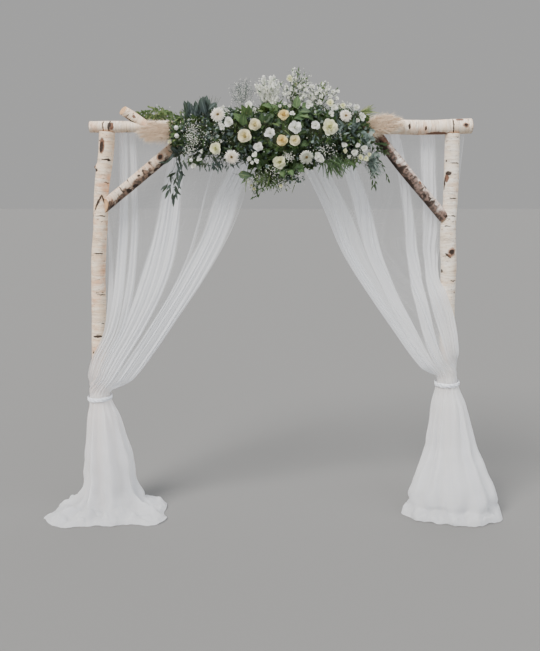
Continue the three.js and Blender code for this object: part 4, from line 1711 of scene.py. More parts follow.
class Garden:
    """Every plant finish, made once."""

    def __init__(self) -> None:
        """Make the finishes."""
        green = Leafage("leaf_green", (
            (0.0, (0.014, 0.030, 0.014)), (0.35, (0.036, 0.080, 0.030)), (0.65, (0.095, 0.165, 0.055)),
            (0.85, (0.19, 0.25, 0.085)), (1.0, (0.38, 0.41, 0.20))))
        grey = Leafage("leaf_grey", (
            (0.0, (0.018, 0.027, 0.033)), (0.4, (0.058, 0.088, 0.090)), (0.75, (0.16, 0.22, 0.205)),
            (1.0, (0.38, 0.44, 0.40))), vein=(0.25, 0.32, 0.28), roughness=0.55)
        # Each row: throat, body, rim and warm colour; the throats are darker partly as painted shade in the
        # crevices between petals.
        petals = {
            "white": ((0.70, 0.74, 0.58), (0.93, 0.93, 0.90), (0.96, 0.96, 0.95), (0.86, 0.87, 0.72)),
            "cream": ((0.58, 0.49, 0.20), (0.87, 0.81, 0.54), (0.93, 0.91, 0.74), (0.82, 0.70, 0.32)),
            "lemon": ((0.56, 0.60, 0.28), (0.90, 0.90, 0.64), (0.94, 0.95, 0.80), (0.82, 0.82, 0.44)),
            "peach": ((0.62, 0.44, 0.11), (0.87, 0.73, 0.32), (0.93, 0.85, 0.52), (0.85, 0.62, 0.20)),
            "blush": ((0.76, 0.66, 0.50), (0.94, 0.92, 0.85), (0.96, 0.95, 0.91), (0.87, 0.78, 0.64)),
            "ash": ((0.34, 0.36, 0.26), (0.64, 0.66, 0.57), (0.76, 0.78, 0.70), (0.50, 0.51, 0.40)),
        }
        self.petals = {name: Petals(f"petal_{name}", *colours).material()
                       for name, colours in petals.items()}
        self.leaf = green.material()
        self.hair = Plumage().material()
        self.eye = PlainGrowth("floret_brown", (0.16, 0.08, 0.035), (0.55, 0.39, 0.18), 900.0).material()
        stem = PlainGrowth("stem_green", (0.022, 0.035, 0.014), (0.06, 0.075, 0.03)).material()
        self.greenery = (self.leaf, grey.material(), stem, self.petals["white"], self.petals["lemon"])


class Bloom(Enum):
    """Kinds of flower, each with its petals, its fullness and how it is curled."""

    ROSE = Rosette(30, 0.05, 1, (92.0, 44.0), 0.85)
    FULL = Rosette(44, 0.06, 1, (64.0, 32.0), 0.9, 0.17)
    RUFFLED = Rosette(44, 0.09, 1, (54.0, 30.0), 0.9, 0.13)
    OPEN = Rosette(22, 0.09, 1, (66.0, 38.0), 0.75, 0.18)
    SMALL_ROSE = Rosette(13, 0.05, 1, heart=0.26, steps=5)
    SMALL_OPEN = Rosette(9, 0.08, 1, (60.0, 42.0), 0.6, 0.22, 5)
    FLUFF = Rosette(22, 0.14, 1, (40.0, 20.0), 0.9, 0.1, 5)

    def template(self, seed: int) -> Template:
        """One such flower, with its own small differences."""
        return replace(self.value, seed=seed).template()


class Head(Enum):
    """Kinds of large head: form (none for a gerbera), petals and material slot."""

    GERBERA = (None, "blush", "gerbera")
    ASHEN = (None, "ash", "gerbera")
    LEMON = (Bloom.FULL, "lemon", "rose_cream")
    CREAM = (Bloom.ROSE, "cream", "rose_cream")
    PEACH = (Bloom.ROSE, "peach", "rose_peach")
    RUFFLED = (Bloom.RUFFLED, "white", "blossom")
    OPEN = (Bloom.OPEN, "white", "blossom")


@dataclass
class FlowerHeads:
    """The large flower heads: each stands where its solid is, is as wide, and looks to X and Z a little."""

    garden: Garden
    sepals: int = 6
    stem: float = 0.07
    stem_radius: float = 0.0035
    droop: float = 0.004
    kinds: ClassVar[dict[str, tuple[Head, float, float]]] = {
        "gerbera_low_left": (Head.GERBERA, -0.15, -0.1), "gerbera_upper_left": (Head.GERBERA, -0.2, 0.1),
        "gerbera_low_right": (Head.ASHEN, 0.1, -0.1), "gerbera_right": (Head.GERBERA, 0.2, 0.15),
        "rose_left": (Head.LEMON, -0.3, 0), "rose_cream_left": (Head.CREAM, -0.15, 0.05),
        "rose_cream_upper": (Head.CREAM, 0, 0.2), "rose_peach": (Head.PEACH, 0, 0.25),
        "rose_pair_left": (Head.PEACH, -0.1, 0), "rose_pair_right": (Head.CREAM, 0.1, 0),
        "rose_low": (Head.LEMON, 0, -0.2), "rose_right": (Head.LEMON, 0.2, 0.1),
        "ruffled_white": (Head.RUFFLED, 0, 0.1), "white_left": (Head.OPEN, -0.2, 0.1),
        "white_centre": (Head.OPEN, 0, 0), "white_bud": (Head.RUFFLED, 0, 0.1),
        "white_right": (Head.OPEN, 0.1, 0.1), "white_low_right": (Head.OPEN, 0.2, -0.1),
    }

    def build(self) -> None:
        """Make every head."""
        for number, (name, (head, sideways, upwards)) in enumerate(self.kinds.items()):
            form, petals, slot = head.value
            low, high = box_of(name)
            look = unit(np.array([sideways, -1.0, upwards]))
            radius = (high[0] - low[0]) / 2 / math.sqrt(1 - look[0] ** 2 * 0.5)
            centre = (low + high) / 2
            centre[1] = low[1] + (0.5 if form else 0.12) * radius
            daisy, turn, shape = Daisy(number), aimed(look, number * 1.3), Shape()
            shape.stamp(form.template(number + 40) if form else daisy.rays(), turn, centre, radius)
            if not form:
                shape.stamp(daisy.florets(), turn, centre, radius, slot=2)
            back = centre - look * radius * 0.42
            turns, backs = sepals(look, self.sepals, 0.12), np.tile(back, (self.sepals, 1))
            shape.stamp(leaf(LANCE), turns, backs, radius * 0.85, 1, 0.45)
            end = back - look * self.stem - np.array([0, 0, self.droop])
            stem = np.stack([back, back - look * self.stem / 2, end])
            shape.strands(stem[None], self.stem_radius, 6, slot=1, tint=0.4)
            finishes = (self.garden.petals[petals], self.garden.leaf, self.garden.eye)
            shape.piece(f"{name}_head", finishes, name, slot)

    def clearings(self) -> Array:
        """Middle and radius of each head, where no leaf may stand."""
        boxes = [box_of(name) for name in self.kinds]
        return np.array([[*box.mean(0), (box[1, 0] - box[0, 0]) / 2] for box in boxes])


@dataclass(frozen=True)
class Mound:
    """An uneven ball of greenery; centre and half sizes in millimetres."""

    centre: Place
    size: Place

    def core(self) -> Template:
        """The dark inside that the leaves stand on.

        Returns:
            The core.
        """
        rise = np.linspace(-np.pi / 2, np.pi / 2, 22)[:, None]
        turn = np.linspace(0, 2 * np.pi, 36, endpoint=False)[None, :]
        ball = np.stack(np.broadcast_arrays(*polar(np.cos(rise), turn), np.sin(rise)), -1)
        swell = 0.68 + 0.09 * Ripple(int(self.size[0]), 0.8).at(ball)
        points = (np.array(self.centre) + ball * np.array(self.size) * swell[..., None]) * MM
        return Template.of(*np.moveaxis(points, -1, 0), 0, 0, 0, closed=True)


@dataclass(frozen=True)
class Planting:
    """A number of leaves of one form; lengths in millimetres."""

    form: LeafForm
    amount: int
    length: Pair
    shade: Pair
    finish: Growth = GREEN
    lift: float = 0.1


@dataclass(frozen=True)
class Tuft:
    """Leaves of one form round a spot; millimetres."""

    place: Place
    size: Place
    way: Place
    form: LeafForm
    amount: int
    length: Pair
    shade: Pair
    finish: Growth = GREEN
    sway: float = 0.5


@dataclass(frozen=True)
class Haze:
    """Tiny blossoms on hair-thin stems round a spot; millimetres."""

    place: Place
    size: Place
    amount: int
    radius: Pair = (1.8, 3.6)


@dataclass
class Growing:
    """A piece of greenery under construction, and the flower heads that it must leave free."""

    seed: int
    clearings: Array
    stalk: float = 0.0012
    hair: float = 0.0004
    margin: float = 0.002

    def __post_init__(self) -> None:
        """Start with an empty shape."""
        self.draws = np.random.default_rng(self.seed)
        self.shape = Shape()

    def shaken(self, base: Sequence[float] | Array, like: Array, share: float) -> Array:
        """Vectors round a base, one for each row of an array, and random by a share."""
        return np.array(base) + self.draws.normal(size=like.shape) * share

    def outer(self, mound: Mound, amount: int, least: float) -> tuple[Array, Array]:
        """Random spots in a mound's outer layer, more of them at the front.

        Args:
            mound: the ball of greenery.
            amount: how many.
            least: share of the full size where it begins.

        Returns:
            The spots and the outward directions.
        """
        ways = self.draws.normal(size=(amount, 3))
        ways[:, 1] = np.where(ways[:, 1] > 0, ways[:, 1] * 0.65, ways[:, 1])
        ways = unit(ways)
        share = self.draws.uniform(least, 1.0, (amount, 1))
        size = np.array(mound.size)
        return (np.array(mound.centre) + ways * size * share) * MM, unit(ways / size * size.mean())

    def scattered(self, group: Tuft | Haze) -> Array:
        """Random spots round the place of a group, in metres."""
        offset = np.clip(self.draws.normal(size=(group.amount, 3)) * 0.48, -1.05, 1.05)
        return (np.array(group.place) + offset * np.array(group.size) / 2) * MM

    def along(self, paths: Array, amount: int, part: Pair) -> tuple[Array, Array]:
        """Random spots on stems.

        Args:
            paths: the stems.
            amount: how many.
            part: least and most share of the length.

        Returns:
            The spots and the stems' directions there.
        """
        which = self.draws.integers(0, len(paths), amount)
        place = self.draws.uniform(*part, amount) * (paths.shape[1] - 1.001)
        step = place.astype(int)
        before, after = paths[which, step], paths[which, step + 1]
        return between(before, after, (place - step)[:, None]), unit(after - before)

    def free(self, places: Array) -> Array:
        """Which places lie neither inside nor in front of a flower head.

        Args:
            places: in metres.

        Returns:
            True or false for each.
        """
        off = places[:, None] - self.clearings[None, :, :3]
        radius = self.clearings[None, :, 3]
        near = np.hypot(off[..., 0], off[..., 2]) < radius * 1.02 + self.margin
        return ~np.any(near & (off[..., 1] < radius * 0.5), axis=1)

    def leaves(self, planting: Planting | Tuft, spots: Array, ways: Array, looks: Array) -> None:
        """Stamp leaves that cover no flower.

        Args:
            planting: form, length, shade and finish.
            spots: their bases.
            ways: where they point.
            looks: where their upper sides face.
        """
        size = self.draws.uniform(*planting.length, len(spots)) * MM
        tint = self.draws.uniform(*planting.shade, len(spots))
        ways = unit(ways)
        keep = np.ones(len(spots), bool)
        for share in (0.0, 0.35, 0.7, 1.0):
            keep &= self.free(spots + ways * size[:, None] * share)
        self.shape.stamp(leaf(planting.form), faced(ways, looks)[keep], spots[keep], size[keep],
                         planting.finish.value, tint[keep])

    def stars(self, roots: Array, ends: Array, radius: Pair) -> None:
        """Stamp tiny blossoms on thin stems where they cover no flower.

        Args:
            roots, ends: of the stems.
            radius: least and most, in millimetres.
        """
        free = self.free(ends)
        roots, ends = roots[free], ends[free]
        self.shape.strands(curved_paths(roots, ends, 0.002, 3), self.hair, 3, GREY.value, 0.6)
        turns = aimed(self.shaken((0, -1, 0.2), ends, 0.5))
        sizes = self.draws.uniform(*radius, len(ends)) * MM
        tints = self.draws.uniform(0, 0.4, len(ends))
        self.shape.stamp(small_blossom(), turns, ends, sizes, WHITE.value, tints)

    def flower(self, row: Spot, kind: Bloom | None, finish: Growth = WHITE) -> None:
        """Add one small flower or, without a kind, a closed bud, on its stem.

        Args:
            row: its middle and diameter, in millimetres.
            kind: its form.
            finish: its petals.
        """
        spot, radius = np.array(row[:3]) * MM, row[3] * MM / 2
        look = unit(self.shaken((spot[0] * 0.6, -1, (spot[2] - 1.98) * 0.8), spot, 0.15))
        template = kind.template(int(self.draws.integers(1, 9000))) if kind else bud()
        self.shape.stamp(template, aimed(look, self.draws.uniform(0, 6)), spot, radius, finish.value, 0.1)
        path = curved_paths((spot - look * 0.07)[None], (spot - look * radius * 0.3)[None], 0.004, 4)
        self.shape.strands(path, self.stalk, 5, GREEN.value, 0.4)
        self.shape.stamp(leaf(LANCE, 3), sepals(look, 4, 0.1), np.tile(spot - look * radius * 0.45, (4, 1)),
                         radius * 1.1, GREEN.value, 0.5)

    def done(self, name: str, garden: Garden, node: str, slot: str) -> None:
        """Make the piece that stands for a node."""
        self.shape.piece(name, garden.greenery, node, slot)


@dataclass
class GreenMass:
    """One leafy mass of the arrangement, with the small blossoms in it."""

    node: str
    mounds: Sequence[Mound]
    plantings: Sequence[Planting]
    tufts: Sequence[Tuft]
    hazes: Sequence[Haze]
    flowers: dict[Bloom | None, Sequence[Spot]]
    pale_flowers: Sequence[Spot]
    sprinkle: int
    seed: int
    leaf_depth: float = 0.74
    star_depth: float = 0.85

    def build(self, garden: Garden, clearings: Array) -> None:
        """Make the mass.

        Args:
            garden: the finishes.
            clearings: middle and radius of each flower head, which stay free.
        """
        small = np.array([row for rows in (*self.flowers.values(), self.pale_flowers) for row in rows])
        growing = Growing(self.seed, np.vstack([clearings, small * MM * np.array([1, 1, 1, 0.5])]))
        for mound in self.mounds:
            core = mound.core()
            growing.shape.add(core.points, core.faces, core.marks, WOODY.value)
            for planting in self.plantings:
                spots, out = growing.outer(mound, planting.amount, self.leaf_depth)
                ways = growing.shaken(out * 0.35 + np.array([0, 0, planting.lift]), out, 0.6)
                growing.leaves(planting, spots, ways, growing.shaken(out, out, 0.35))
            spots, out = growing.outer(mound, self.sprinkle, self.star_depth)
            height = growing.draws.uniform(0.01, 0.03, (self.sprinkle, 1))
            growing.stars(spots, spots + out * height, (2.2, 4.8))
        for tuft in self.tufts:
            self._tufted(growing, tuft)
        for haze in self.hazes:
            ends = growing.scattered(haze)
            growing.stars(ends + np.array([0, 0.04, 0]), ends, haze.radius)
        for kind, rows in self.flowers.items():
            for row in rows:
                growing.flower(row, kind)
        for row in self.pale_flowers:
            growing.flower(row, Bloom.SMALL_ROSE, CREAM)
        growing.done(f"{self.node}_leaves", garden, self.node, "leaf")

    @staticmethod
    def _tufted(growing: Growing, tuft: Tuft) -> None:
        """Add the leaves of one tuft with thin stalks back into the mass.

        Args:
            growing: the mass.
            tuft: the leaves.
        """
        spots = growing.scattered(tuft)
        ways = unit(growing.shaken(tuft.way, spots, tuft.sway))
        growing.leaves(tuft, spots, ways, growing.shaken((0, -1, 0.25), spots, 0.3))
        roots = spots - ways * 0.03 + np.array([0, 0.03, 0])
        growing.shape.strands(curved_paths(roots, spots, 0.0, 3), 0.0006, 3, WOODY.value)


@dataclass
class LeafySpray:
    """A fan of stems with leaves or blossoms, that stands where its solid is; millimetres."""

    node: str
    slot: str
    root: Place
    stems: int
    leaves: Planting
    seed: int
    stars: int = 0
    star_radius: Pair = (3.0, 6.0)
    flames: int = 0
    flowers: Sequence[Spot] = ()
    pale_flowers: Sequence[Spot] = ()
    sag: float = 10.0
    spread: float = 0.5
    thick: float = 1.2
    reach: float = 0.98
    leafy: Pair = (0.2, 1.0)

    def build(self, garden: Garden) -> None:
        """Make the spray.

        Args:
            garden: the finishes.
        """
        growing = Growing(self.seed, np.zeros((0, 4)))
        draws = growing.draws
        low, high = box_of(self.node)
        centre, half = (low + high) / 2, (high - low) / 2
        root = np.array(self.root) * MM
        ways = unit(draws.normal(size=(self.stems, 3)) + unit(centre - root) * 0.9)
        tips = centre + ways * half * self.reach
        starts = growing.shaken(root, tips, 0.012)
        paths = curved_paths(starts, tips, self.sag * MM, 7)
        growing.shape.strands(paths, np.linspace(1, 0.4, 7) * self.thick * MM, 4, WOODY.value)
        spots, ways = growing.along(paths, self.leaves.amount, self.leafy)
        looks = growing.shaken((0, -1, 0.1), ways, 0.5)
        growing.leaves(self.leaves, spots, growing.shaken(ways * 0.8, ways, self.spread), looks)
        flames = Planting(BROAD, self.flames, (15, 27), (0.0, 0.3), WHITE)
        spots, ways = growing.along(paths, self.flames, (0.4, 1.0))
        ways = growing.shaken(ways + np.array([0, -0.2, 0.3]), ways, 0.45)
        growing.leaves(flames, spots, ways, growing.shaken((0, -1, 0.1), ways, 0.4))
        spots, _ = growing.along(paths, self.stars, (0.45, 1.0))
        ends = centre + np.clip(growing.shaken((spots - centre) / half, spots, 0.25), -1, 1) * half
        growing.stars(spots, ends, self.star_radius)
        for rows, finish in ((self.flowers, WHITE), (self.pale_flowers, CREAM)):
            for number, row in enumerate(rows):
                growing.flower(row, (Bloom.SMALL_OPEN, Bloom.FLUFF)[number % 2], finish)
                behind = (np.array([row[:3]]) + np.array([0, 10, -5])) * MM
                stalk = curved_paths(starts[:1], behind, 0.01, 6)
                growing.shape.strands(stalk, growing.stalk, 5, GREEN.value, 0.4)
        growing.done(f"{self.node}_sprig", garden, self.node, self.slot)


@dataclass
class Plume:
    """A pampas plume: fine hairs along a few spines, that stands where its solid is; millimetres."""

    node: str
    spines: Sequence[Sequence[Place]]
    hairs: int
    length: Pair
    seed: int
    fan: float = 0.2
    droop: float = 0.12

    def build(self, garden: Garden) -> None:
        """Make the plume.

        Args:
            garden: the finishes.
        """
        draws = np.random.default_rng(self.seed)
        shape = Shape()
        for spine in self.spines:
            line = spline(spine, np.linspace(0, 1, 16)) * MM
            shape.strands(line[None], np.linspace(1.6, 0.4, 16) * MM, 5, tint=0.8)
            self._hairs(shape, line, draws)
        shape.piece(f"{self.node}_plume", (garden.hair,), self.node, "pampas")

    def _hairs(self, shape: Shape, line: Array, draws: Draws) -> None:
        """Add the hairs of one spine, fewer and shorter towards its tip.

        Args:
            shape: the mesh.
            line: the spine.
            draws: random numbers.
        """
        amount = self.hairs
        share = draws.uniform(0, 1, amount) ** 1.15 * 0.97
        place = share * (len(line) - 1.001)
        step = place.astype(int)
        root = between(line[step], line[step + 1], (place - step)[:, None])
        way = unit(line[step + 1] - line[step])
        out = unit(way + draws.normal(size=(amount, 3)) * self.fan * (1.2 - 0.7 * share)[:, None])
        length = (draws.uniform(*self.length, amount) * MM * (1 - 0.45 * share))[:, None, None]
        t = np.linspace(0, 1, 6)[None, :, None]
        curl = draws.normal(size=(amount, 1, 3)) * 0.16
        paths = root[:, None] + (out[:, None] * t + curl * t**2) * length
        paths[..., 2] -= self.droop * (length * t**2)[..., 0]
        paths += np.sin(t * 9 + draws.uniform(0, 6, (amount, 1, 1))) * curl * length * 0.18
        radius = np.array([0.34, 0.5, 0.5, 0.42, 0.3, 0.1]) * MM
        shape.strands(paths, radius, 2, tint=draws.uniform(0, 1, amount))


@dataclass
class Arrangement:
    """The flowers and greens that are fixed over the beam."""

    garden: Garden

    def centre(self) -> GreenMass:
        """The leafy mass in the middle, which thins out downwards."""
        return GreenMass(
            "foliage_centre", (Mound((22, -88, 1962), (170, 104, 184)),),
            (Planting(BROAD, 300, (34, 62), (0.05, 0.55)), Planting(LANCE, 640, (26, 56), (0.1, 0.75)),
             Planting(ROUND, 260, (14, 26), (0.3, 0.95), GREY),
             Planting(NEEDLE, 200, (36, 66), (0.4, 0.9), lift=-0.4)),
            (Tuft((-150, -196, 2060), (70, 10, 60), (-0.2, -0.2, 0.9), BROAD, 5, (60, 76), (0.40, 0.55)),
             Tuft((4, -204, 1984), (30, 8, 20), (0.1, -0.1, 1), BROAD, 3, (44, 58), (0.5, 0.65)),
             Tuft((-44, -196, 2045), (120, 12, 30), (0.1, -0.2, 0.6), BROAD, 9, (45, 64), (0.1, 0.35)),
             Tuft((118, -186, 2110), (50, 10, 40), (0, -0.2, 1), BROAD, 4, (56, 70), (0.42, 0.56)),
             Tuft((158, -186, 2078), (90, 10, 40), (0.1, -0.2, 0.6), BROAD, 6, (48, 64), (0.15, 0.4)),
             Tuft((-168, -196, 1793), (16, 8, 10), (1, -0.2, 0), BROAD, 2, (62, 70), (0.05, 0.15),
                  sway=0.2),
             Tuft((60, -196, 1812), (60, 10, 20), (0.2, -0.2, -0.5), BROAD, 7, (44, 60), (0.35, 0.55)),
             Tuft((119, -192, 1838), (40, 10, 20), (0.5, -0.2, -0.3), BROAD, 5, (44, 60), (0.1, 0.35)),
             Tuft((-10, -130, 1796), (240, 60, 70), (0, -0.1, -1), NEEDLE, 70, (40, 84), (0.4, 0.8),
                  sway=0.45),
             Tuft((-30, -120, 1762), (210, 60, 90), (0, -0.1, -0.7), LANCE, 150, (14, 26), (0.3, 0.8),
                  sway=0.6),
             Tuft((-90, -130, 1740), (60, 40, 110), (-0.1, -0.1, -0.8), LANCE, 40, (16, 28), (0.1, 0.5)),
             Tuft((70, -120, 1780), (160, 50, 60), (0.1, -0.1, -0.8), ROUND, 60, (10, 18), (0.3, 0.9),
                  GREY)),
            (Haze((70, -212, 1877), (60, 10, 50), 110), Haze((0, -200, 1815), (120, 30, 70), 100),
             Haze((60, -150, 1760), (180, 50, 80), 130), Haze((-100, -150, 1750), (70, 40, 100), 60),
             Haze((150, -180, 1800), (90, 30, 60), 70)),
            {
                Bloom.SMALL_OPEN: ((89, -205, 2089, 30), (-94, -214, 1887, 33), (-85, -214, 1858, 28),
                                   (-123, -172, 1760, 26), (174, -186, 2138, 46)),
                Bloom.SMALL_ROSE: ((-121, -214, 1868, 28), (-108, -214, 1848, 20)),
                Bloom.FLUFF: ((55, -180, 2140, 22), (30, -176, 2128, 20), (78, -176, 2130, 20),
                              (150, -208, 1885, 24)),
            },
            ((-99, -150, 1722, 22), (35, -160, 1736, 22), (-112, -160, 1738, 18)), 70, 61)

    def left(self) -> GreenMass:
        """The leafy mass over the left half of the beam."""
        return GreenMass(
            "foliage_left", (Mound((-356, -70, 2000), (182, 98, 118)),
                             Mound((-170, -80, 1990), (146, 106, 136))),
            (Planting(LANCE, 560, (22, 46), (0.0, 0.6)), Planting(LANCE, 380, (26, 50), (0.0, 0.7), GREY),
             Planting(ROUND, 240, (13, 24), (0.15, 0.95), GREY),
             Planting(BROAD, 120, (28, 48), (0.1, 0.55))),
            (Tuft((-428, -110, 2082), (50, 30, 30), (-0.1, -0.1, 1), STRAP, 9, (54, 78), (0.0, 0.25), GREY,
                  0.25),
             Tuft((-392, -120, 2088), (50, 30, 30), (0.05, -0.1, 1), STRAP, 9, (54, 78), (0.0, 0.25), GREY,
                  0.25),
             Tuft((-342, -130, 2098), (30, 20, 20), (0.0, -0.1, 1), STRAP, 9, (70, 92), (0.0, 0.25), GREY,
                  0.2),
             Tuft((-490, -96, 2060), (90, 50, 100), (-0.5, -0.3, 0.5), LANCE, 70, (20, 38), (0.45, 0.85)),
             Tuft((-488, -110, 1990), (70, 50, 90), (-0.6, -0.3, -0.1), LANCE, 60, (20, 36), (0.4, 0.8)),
             Tuft((-400, -120, 1866), (130, 40, 50), (0, -0.1, -0.8), LANCE, 60, (16, 32), (0.1, 0.55)),
             Tuft((-270, -130, 1852), (190, 40, 50), (0, -0.1, -0.8), LANCE, 70, (16, 34), (0.1, 0.5),
                  GREY)),
            (Haze((-403, -170, 1985), (90, 16, 150), 360, (1.6, 3.2)),
             Haze((-418, -160, 1905), (70, 20, 60), 70),
             Haze((-250, -200, 2104), (70, 12, 40), 60, (2.5, 5.0)),
             Haze((-300, -180, 1960), (160, 20, 100), 80),
             Haze((-120, -196, 2110), (80, 12, 60), 70, (2.0, 4.5))),
            {
                Bloom.FLUFF: ((-252, -207, 2021, 36), (-263, -203, 2040, 26), (-250, -196, 2118, 26),
                              (-96, -186, 2112, 22)),
                Bloom.SMALL_OPEN: ((-375, -168, 1870, 30), (-362, -166, 1907, 20)),
                Bloom.SMALL_ROSE: ((-404, -152, 1836, 32), (-124, -192, 2130, 44)),
                None: ((-413, -160, 1863, 20), (-488, -140, 2025, 26), (-486, -138, 1985, 26)),
            },
            ((-528, -112, 1958, 22),), 110, 62)

    def right(self) -> GreenMass:
        """The leafy mass over the right half of the beam."""
        return GreenMass(
            "foliage_right", (Mound((340, -72, 1996), (160, 96, 128)),
                              Mound((205, -82, 1990), (118, 106, 146))),
            (Planting(LANCE, 520, (24, 50), (0.05, 0.7)), Planting(LANCE, 220, (28, 50), (0.1, 0.75), GREY),
             Planting(ROUND, 260, (14, 26), (0.3, 0.95), GREY),
             Planting(BROAD, 130, (32, 54), (0.0, 0.55))),
            (Tuft((378, -150, 2031), (130, 20, 60), (-0.5, -0.2, 0.1), LANCE, 46, (34, 60), (0.3, 0.8),
                  GREY),
             Tuft((452, -140, 1968), (70, 20, 70), (0.4, -0.4, 0.2), ROUND, 34, (20, 32), (0.62, 0.95),
                  GREY),
             Tuft((500, -120, 1880), (60, 24, 60), (0.5, -0.3, -0.3), ROUND, 26, (18, 28), (0.6, 0.92),
                  GREY),
             Tuft((300, -160, 1856), (130, 30, 50), (0.3, -0.2, -0.8), NEEDLE, 90, (46, 84), (0.25, 0.55),
                  sway=0.35),
             Tuft((452, -126, 2100), (60, 30, 40), (0.8, -0.2, 0.3), NEEDLE, 44, (36, 66), (0.75, 1.0),
                  sway=0.35),
             Tuft((498, -120, 1838), (70, 30, 60), (0.6, -0.2, -0.8), NEEDLE, 90, (28, 56), (0.5, 0.9),
                  GREY, 0.35),
             Tuft((400, -130, 1860), (120, 30, 40), (0, -0.1, -0.8), LANCE, 60, (16, 34), (0.3, 0.8))),
            (Haze((300, -182, 2000), (110, 16, 90), 70), Haze((250, -186, 1915), (120, 20, 70), 90),
             Haze((420, -150, 1900), (120, 20, 90), 90),
             Haze((350, -160, 2130), (150, 20, 50), 110, (2.2, 4.6))),
            {
                Bloom.SMALL_OPEN: ((213, -207, 1884, 40), (283, -194, 2087, 36), (382, -150, 2140, 22),
                                   (439, -160, 2079, 46), (350, -180, 1937, 32), (418, -166, 1937, 28),
                                   (376, -172, 1880, 22)),
                Bloom.SMALL_ROSE: ((236, -203, 1863, 32), (298, -184, 2119, 38), (411, -152, 2124, 38),
                                   (451, -158, 1923, 38), (400, -178, 1901, 38)),
                Bloom.FLUFF: ((227, -172, 2146, 30), (418, -156, 2060, 26)),
            },
            ((278, -182, 2142, 42), (342, -172, 2131, 32), (354, -180, 1908, 26), (433, -168, 1876, 32),
             (462, -154, 1872, 32), (478, -150, 1893, 24)), 110, 63)

    def sprays(self) -> tuple[LeafySpray, ...]:
        """The tall sprays and the hanging sprigs."""
        green = Planting(LANCE, 120, (16, 30), (0.3, 0.8))
        return (
            LeafySpray("eucalyptus_upright", "eucalyptus", (-330, -70, 2040), 14,
                       Planting(STRAP, 34, (40, 60), (0.0, 0.25), GREY), 71, spread=0.2, reach=0.6,
                       leafy=(0.1, 0.55)),
            LeafySpray("gypsophila_spray", "blossom", (-150, -70, 2080), 18,
                       Planting(NEEDLE, 12, (10, 20), (0.7, 1.0), GREY), 72, stars=420,
                       star_radius=(1.6, 3.4), thick=0.45),
            LeafySpray("larkspur_spray", "blossom", (-28, -80, 2090), 24,
                       Planting(LANCE, 130, (16, 30), (0.6, 1.0), GREY), 73, stars=180, flames=640,
                       flowers=((52, -86, 2200, 26), (20, -80, 2180, 24), (-20, -90, 2160, 22))),
            LeafySpray("white_rose_spray", "blossom", (90, -80, 2110), 22, green, 74, stars=200, flames=40,
                       flowers=((92, -85, 2225, 28), (128, -85, 2235, 26), (163, -85, 2220, 28),
                                (188, -84, 2238, 24), (110, -80, 2205, 26), (76, -76, 2206, 26),
                                (150, -84, 2198, 26), (64, -70, 2240, 22), (140, -80, 2180, 26),
                                (104, -84, 2178, 26)),
                       pale_flowers=((83, -60, 2279, 44), (112, -60, 2252, 24))),
            LeafySpray("blossom_spray_right", "blossom", (215, -80, 2090), 22, green, 75, stars=160,
                       flames=40, reach=0.85,
                       flowers=((199, -85, 2236, 28), (234, -85, 2220, 30), (270, -84, 2226, 28),
                                (300, -80, 2212, 28), (324, -76, 2216, 24), (252, -82, 2200, 26),
                                (216, -84, 2204, 24), (286, -80, 2190, 28), (238, -86, 2184, 26),
                                (204, -88, 2180, 26), (322, -74, 2180, 24))),
            LeafySpray("trailing_greens_left", "leaf", (-520, 0, 2086), 20,
                       Planting(BROAD, 640, (9, 20), (0.5, 0.95)), 76, stars=24),
            LeafySpray("hanging_sprig_left", "eucalyptus", (-462, -90, 1930), 6,
                       Planting(LANCE, 46, (42, 60), (0.0, 0.12), GREY), 77, sag=-4.0),
            LeafySpray("hanging_sprig_right", "leaf", (490, -84, 1960), 8,
                       Planting(LANCE, 90, (22, 38), (0.0, 0.4)), 78, sag=-4.0),
        )

    def plumes(self) -> tuple[Plume, ...]:
        """The two pampas plumes.

        Returns:
            The left and the right one.
        """
        left = [
            [(-505, -84, 2030), (-570, -86, 2044), (-630, -80, 2054)],
            [(-505, -86, 2022), (-590, -90, 2030), (-668, -84, 2034)],
            [(-510, -88, 2012), (-600, -92, 2012), (-680, -86, 2010)],
            [(-512, -86, 2004), (-590, -90, 1996), (-664, -86, 1990)],
            [(-515, -84, 1996), (-580, -88, 1982), (-640, -86, 1972)],
        ]
        right = [
            [(452, -70, 2030), (520, -56, 2078), (600, -50, 2096)],
            [(456, -72, 2020), (540, -62, 2062), (640, -52, 2080)],
            [(462, -74, 2012), (550, -66, 2040), (650, -54, 2052)],
            [(470, -74, 2006), (540, -68, 2020), (610, -58, 2026)],
        ]
        return (Plume("pampas_left", left, 1100, (34, 68), 81, 0.42),
                Plume("pampas_right", right, 1300, (36, 72), 82, 0.36))

    def build(self) -> None:
        """Make the whole arrangement."""
        heads = FlowerHeads(self.garden)
        for mass in (self.centre(), self.left(), self.right()):
            mass.build(self.garden, heads.clearings())
        for piece in (*self.sprays(), *self.plumes()):
            piece.build(self.garden)
        heads.build()


# Studio

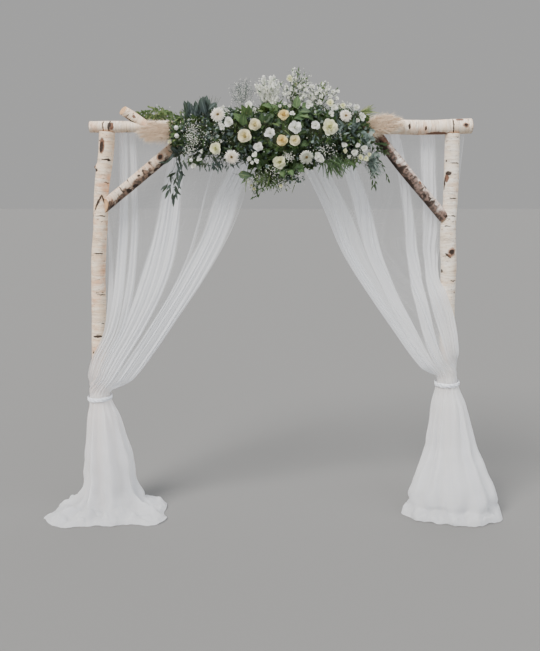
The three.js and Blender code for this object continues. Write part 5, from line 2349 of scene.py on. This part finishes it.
@dataclass
class Studio:
    """The floor, the soft light and the camera at the photograph's place; metres."""

    eye: Place = (-0.019, -3.794, 1.65)
    tilt: float = 4.96
    lens: float = 39.82
    shift: float = -0.0922
    floor_size: float = 400.0
    floor_colour: Colour = (0.18, 0.18, 0.178)
    surround: Colour = (0.415, 0.414, 0.411)

    def build(self) -> None:
        """Set up the stage."""
        self._floor()
        self._sun("key", (-0.55, -0.60, 0.85), 5.6, 30.0, (1.0, 0.965, 0.92))
        self._sun("fill", (0.75, -0.65, 0.45), 2.1, 70.0, (0.94, 0.97, 1.0))
        self._sun("top", (0.15, 0.55, 0.90), 1.8, 70.0, (0.96, 0.98, 1.0))
        self._world()
        self._camera()

    def _floor(self) -> None:
        """A plain pale floor."""
        half = self.floor_size / 2
        mesh = bpy.data.meshes.new("floor")
        mesh.from_pydata([(-half, -half, 0), (half, -half, 0), (half, half, 0), (-half, half, 0)], [],
                         [(0, 1, 2, 3)])
        floor = bpy.data.objects.new("floor", mesh)
        bpy.context.scene.collection.objects.link(floor)
        shader = Shader("floor_pale")
        matt = shader.principled(Base_Color=self.floor_colour, Roughness=0.95, Specular_IOR_Level=0.1)
        mesh.materials.append(shader.done(matt))

    @staticmethod
    def _sun(name: str, place: Place, power: float, spread: float, colour: Colour) -> None:
        """Add a wide, soft distant light.

        Args:
            name: its name.
            place: where it shines from.
            power: watts a square metre.
            spread: width in degrees.
            colour: of its light.
        """
        data = bpy.data.lights.new(name, "SUN")
        data.angle = math.radians(spread)
        data.energy = power
        data.color = colour
        lamp = bpy.data.objects.new(name, data)
        turn = aimed(np.array(place))[0]
        rows = [[*row, 0.0] for row in turn.tolist()] + [[0.0, 0.0, 0.0, 1.0]]
        lamp.matrix_world = [list(column) for column in zip(*rows)]
        bpy.context.scene.collection.objects.link(lamp)

    def _world(self) -> None:
        """A plain grey surround, darker than the cloth."""
        world = bpy.data.worlds.new("surround")
        world.use_nodes = True
        background = world.node_tree.nodes["Background"]
        background.inputs["Color"].default_value = (*self.surround, 1.0)
        background.inputs["Strength"].default_value = 1.0
        bpy.context.scene.world = world

    def _camera(self) -> None:
        """The camera at the photograph's viewing angle."""
        data = bpy.data.cameras.new("camera")
        data.lens = self.lens
        data.shift_y = self.shift
        camera = bpy.data.objects.new("camera", data)
        camera.location = self.eye
        camera.rotation_euler = (math.radians(90 - self.tilt), 0.0, 0.0)
        bpy.context.scene.collection.objects.link(camera)
        bpy.context.scene.camera = camera


def main() -> None:
    """Build the arch piece by piece."""
    logging.basicConfig(level=logging.INFO, format="%(message)s")
    Studio().build()
    timber = Timber()
    timber.build()
    Hangings(timber).build()
    Arrangement(Garden()).build()


if __name__ == "__main__":
    main()
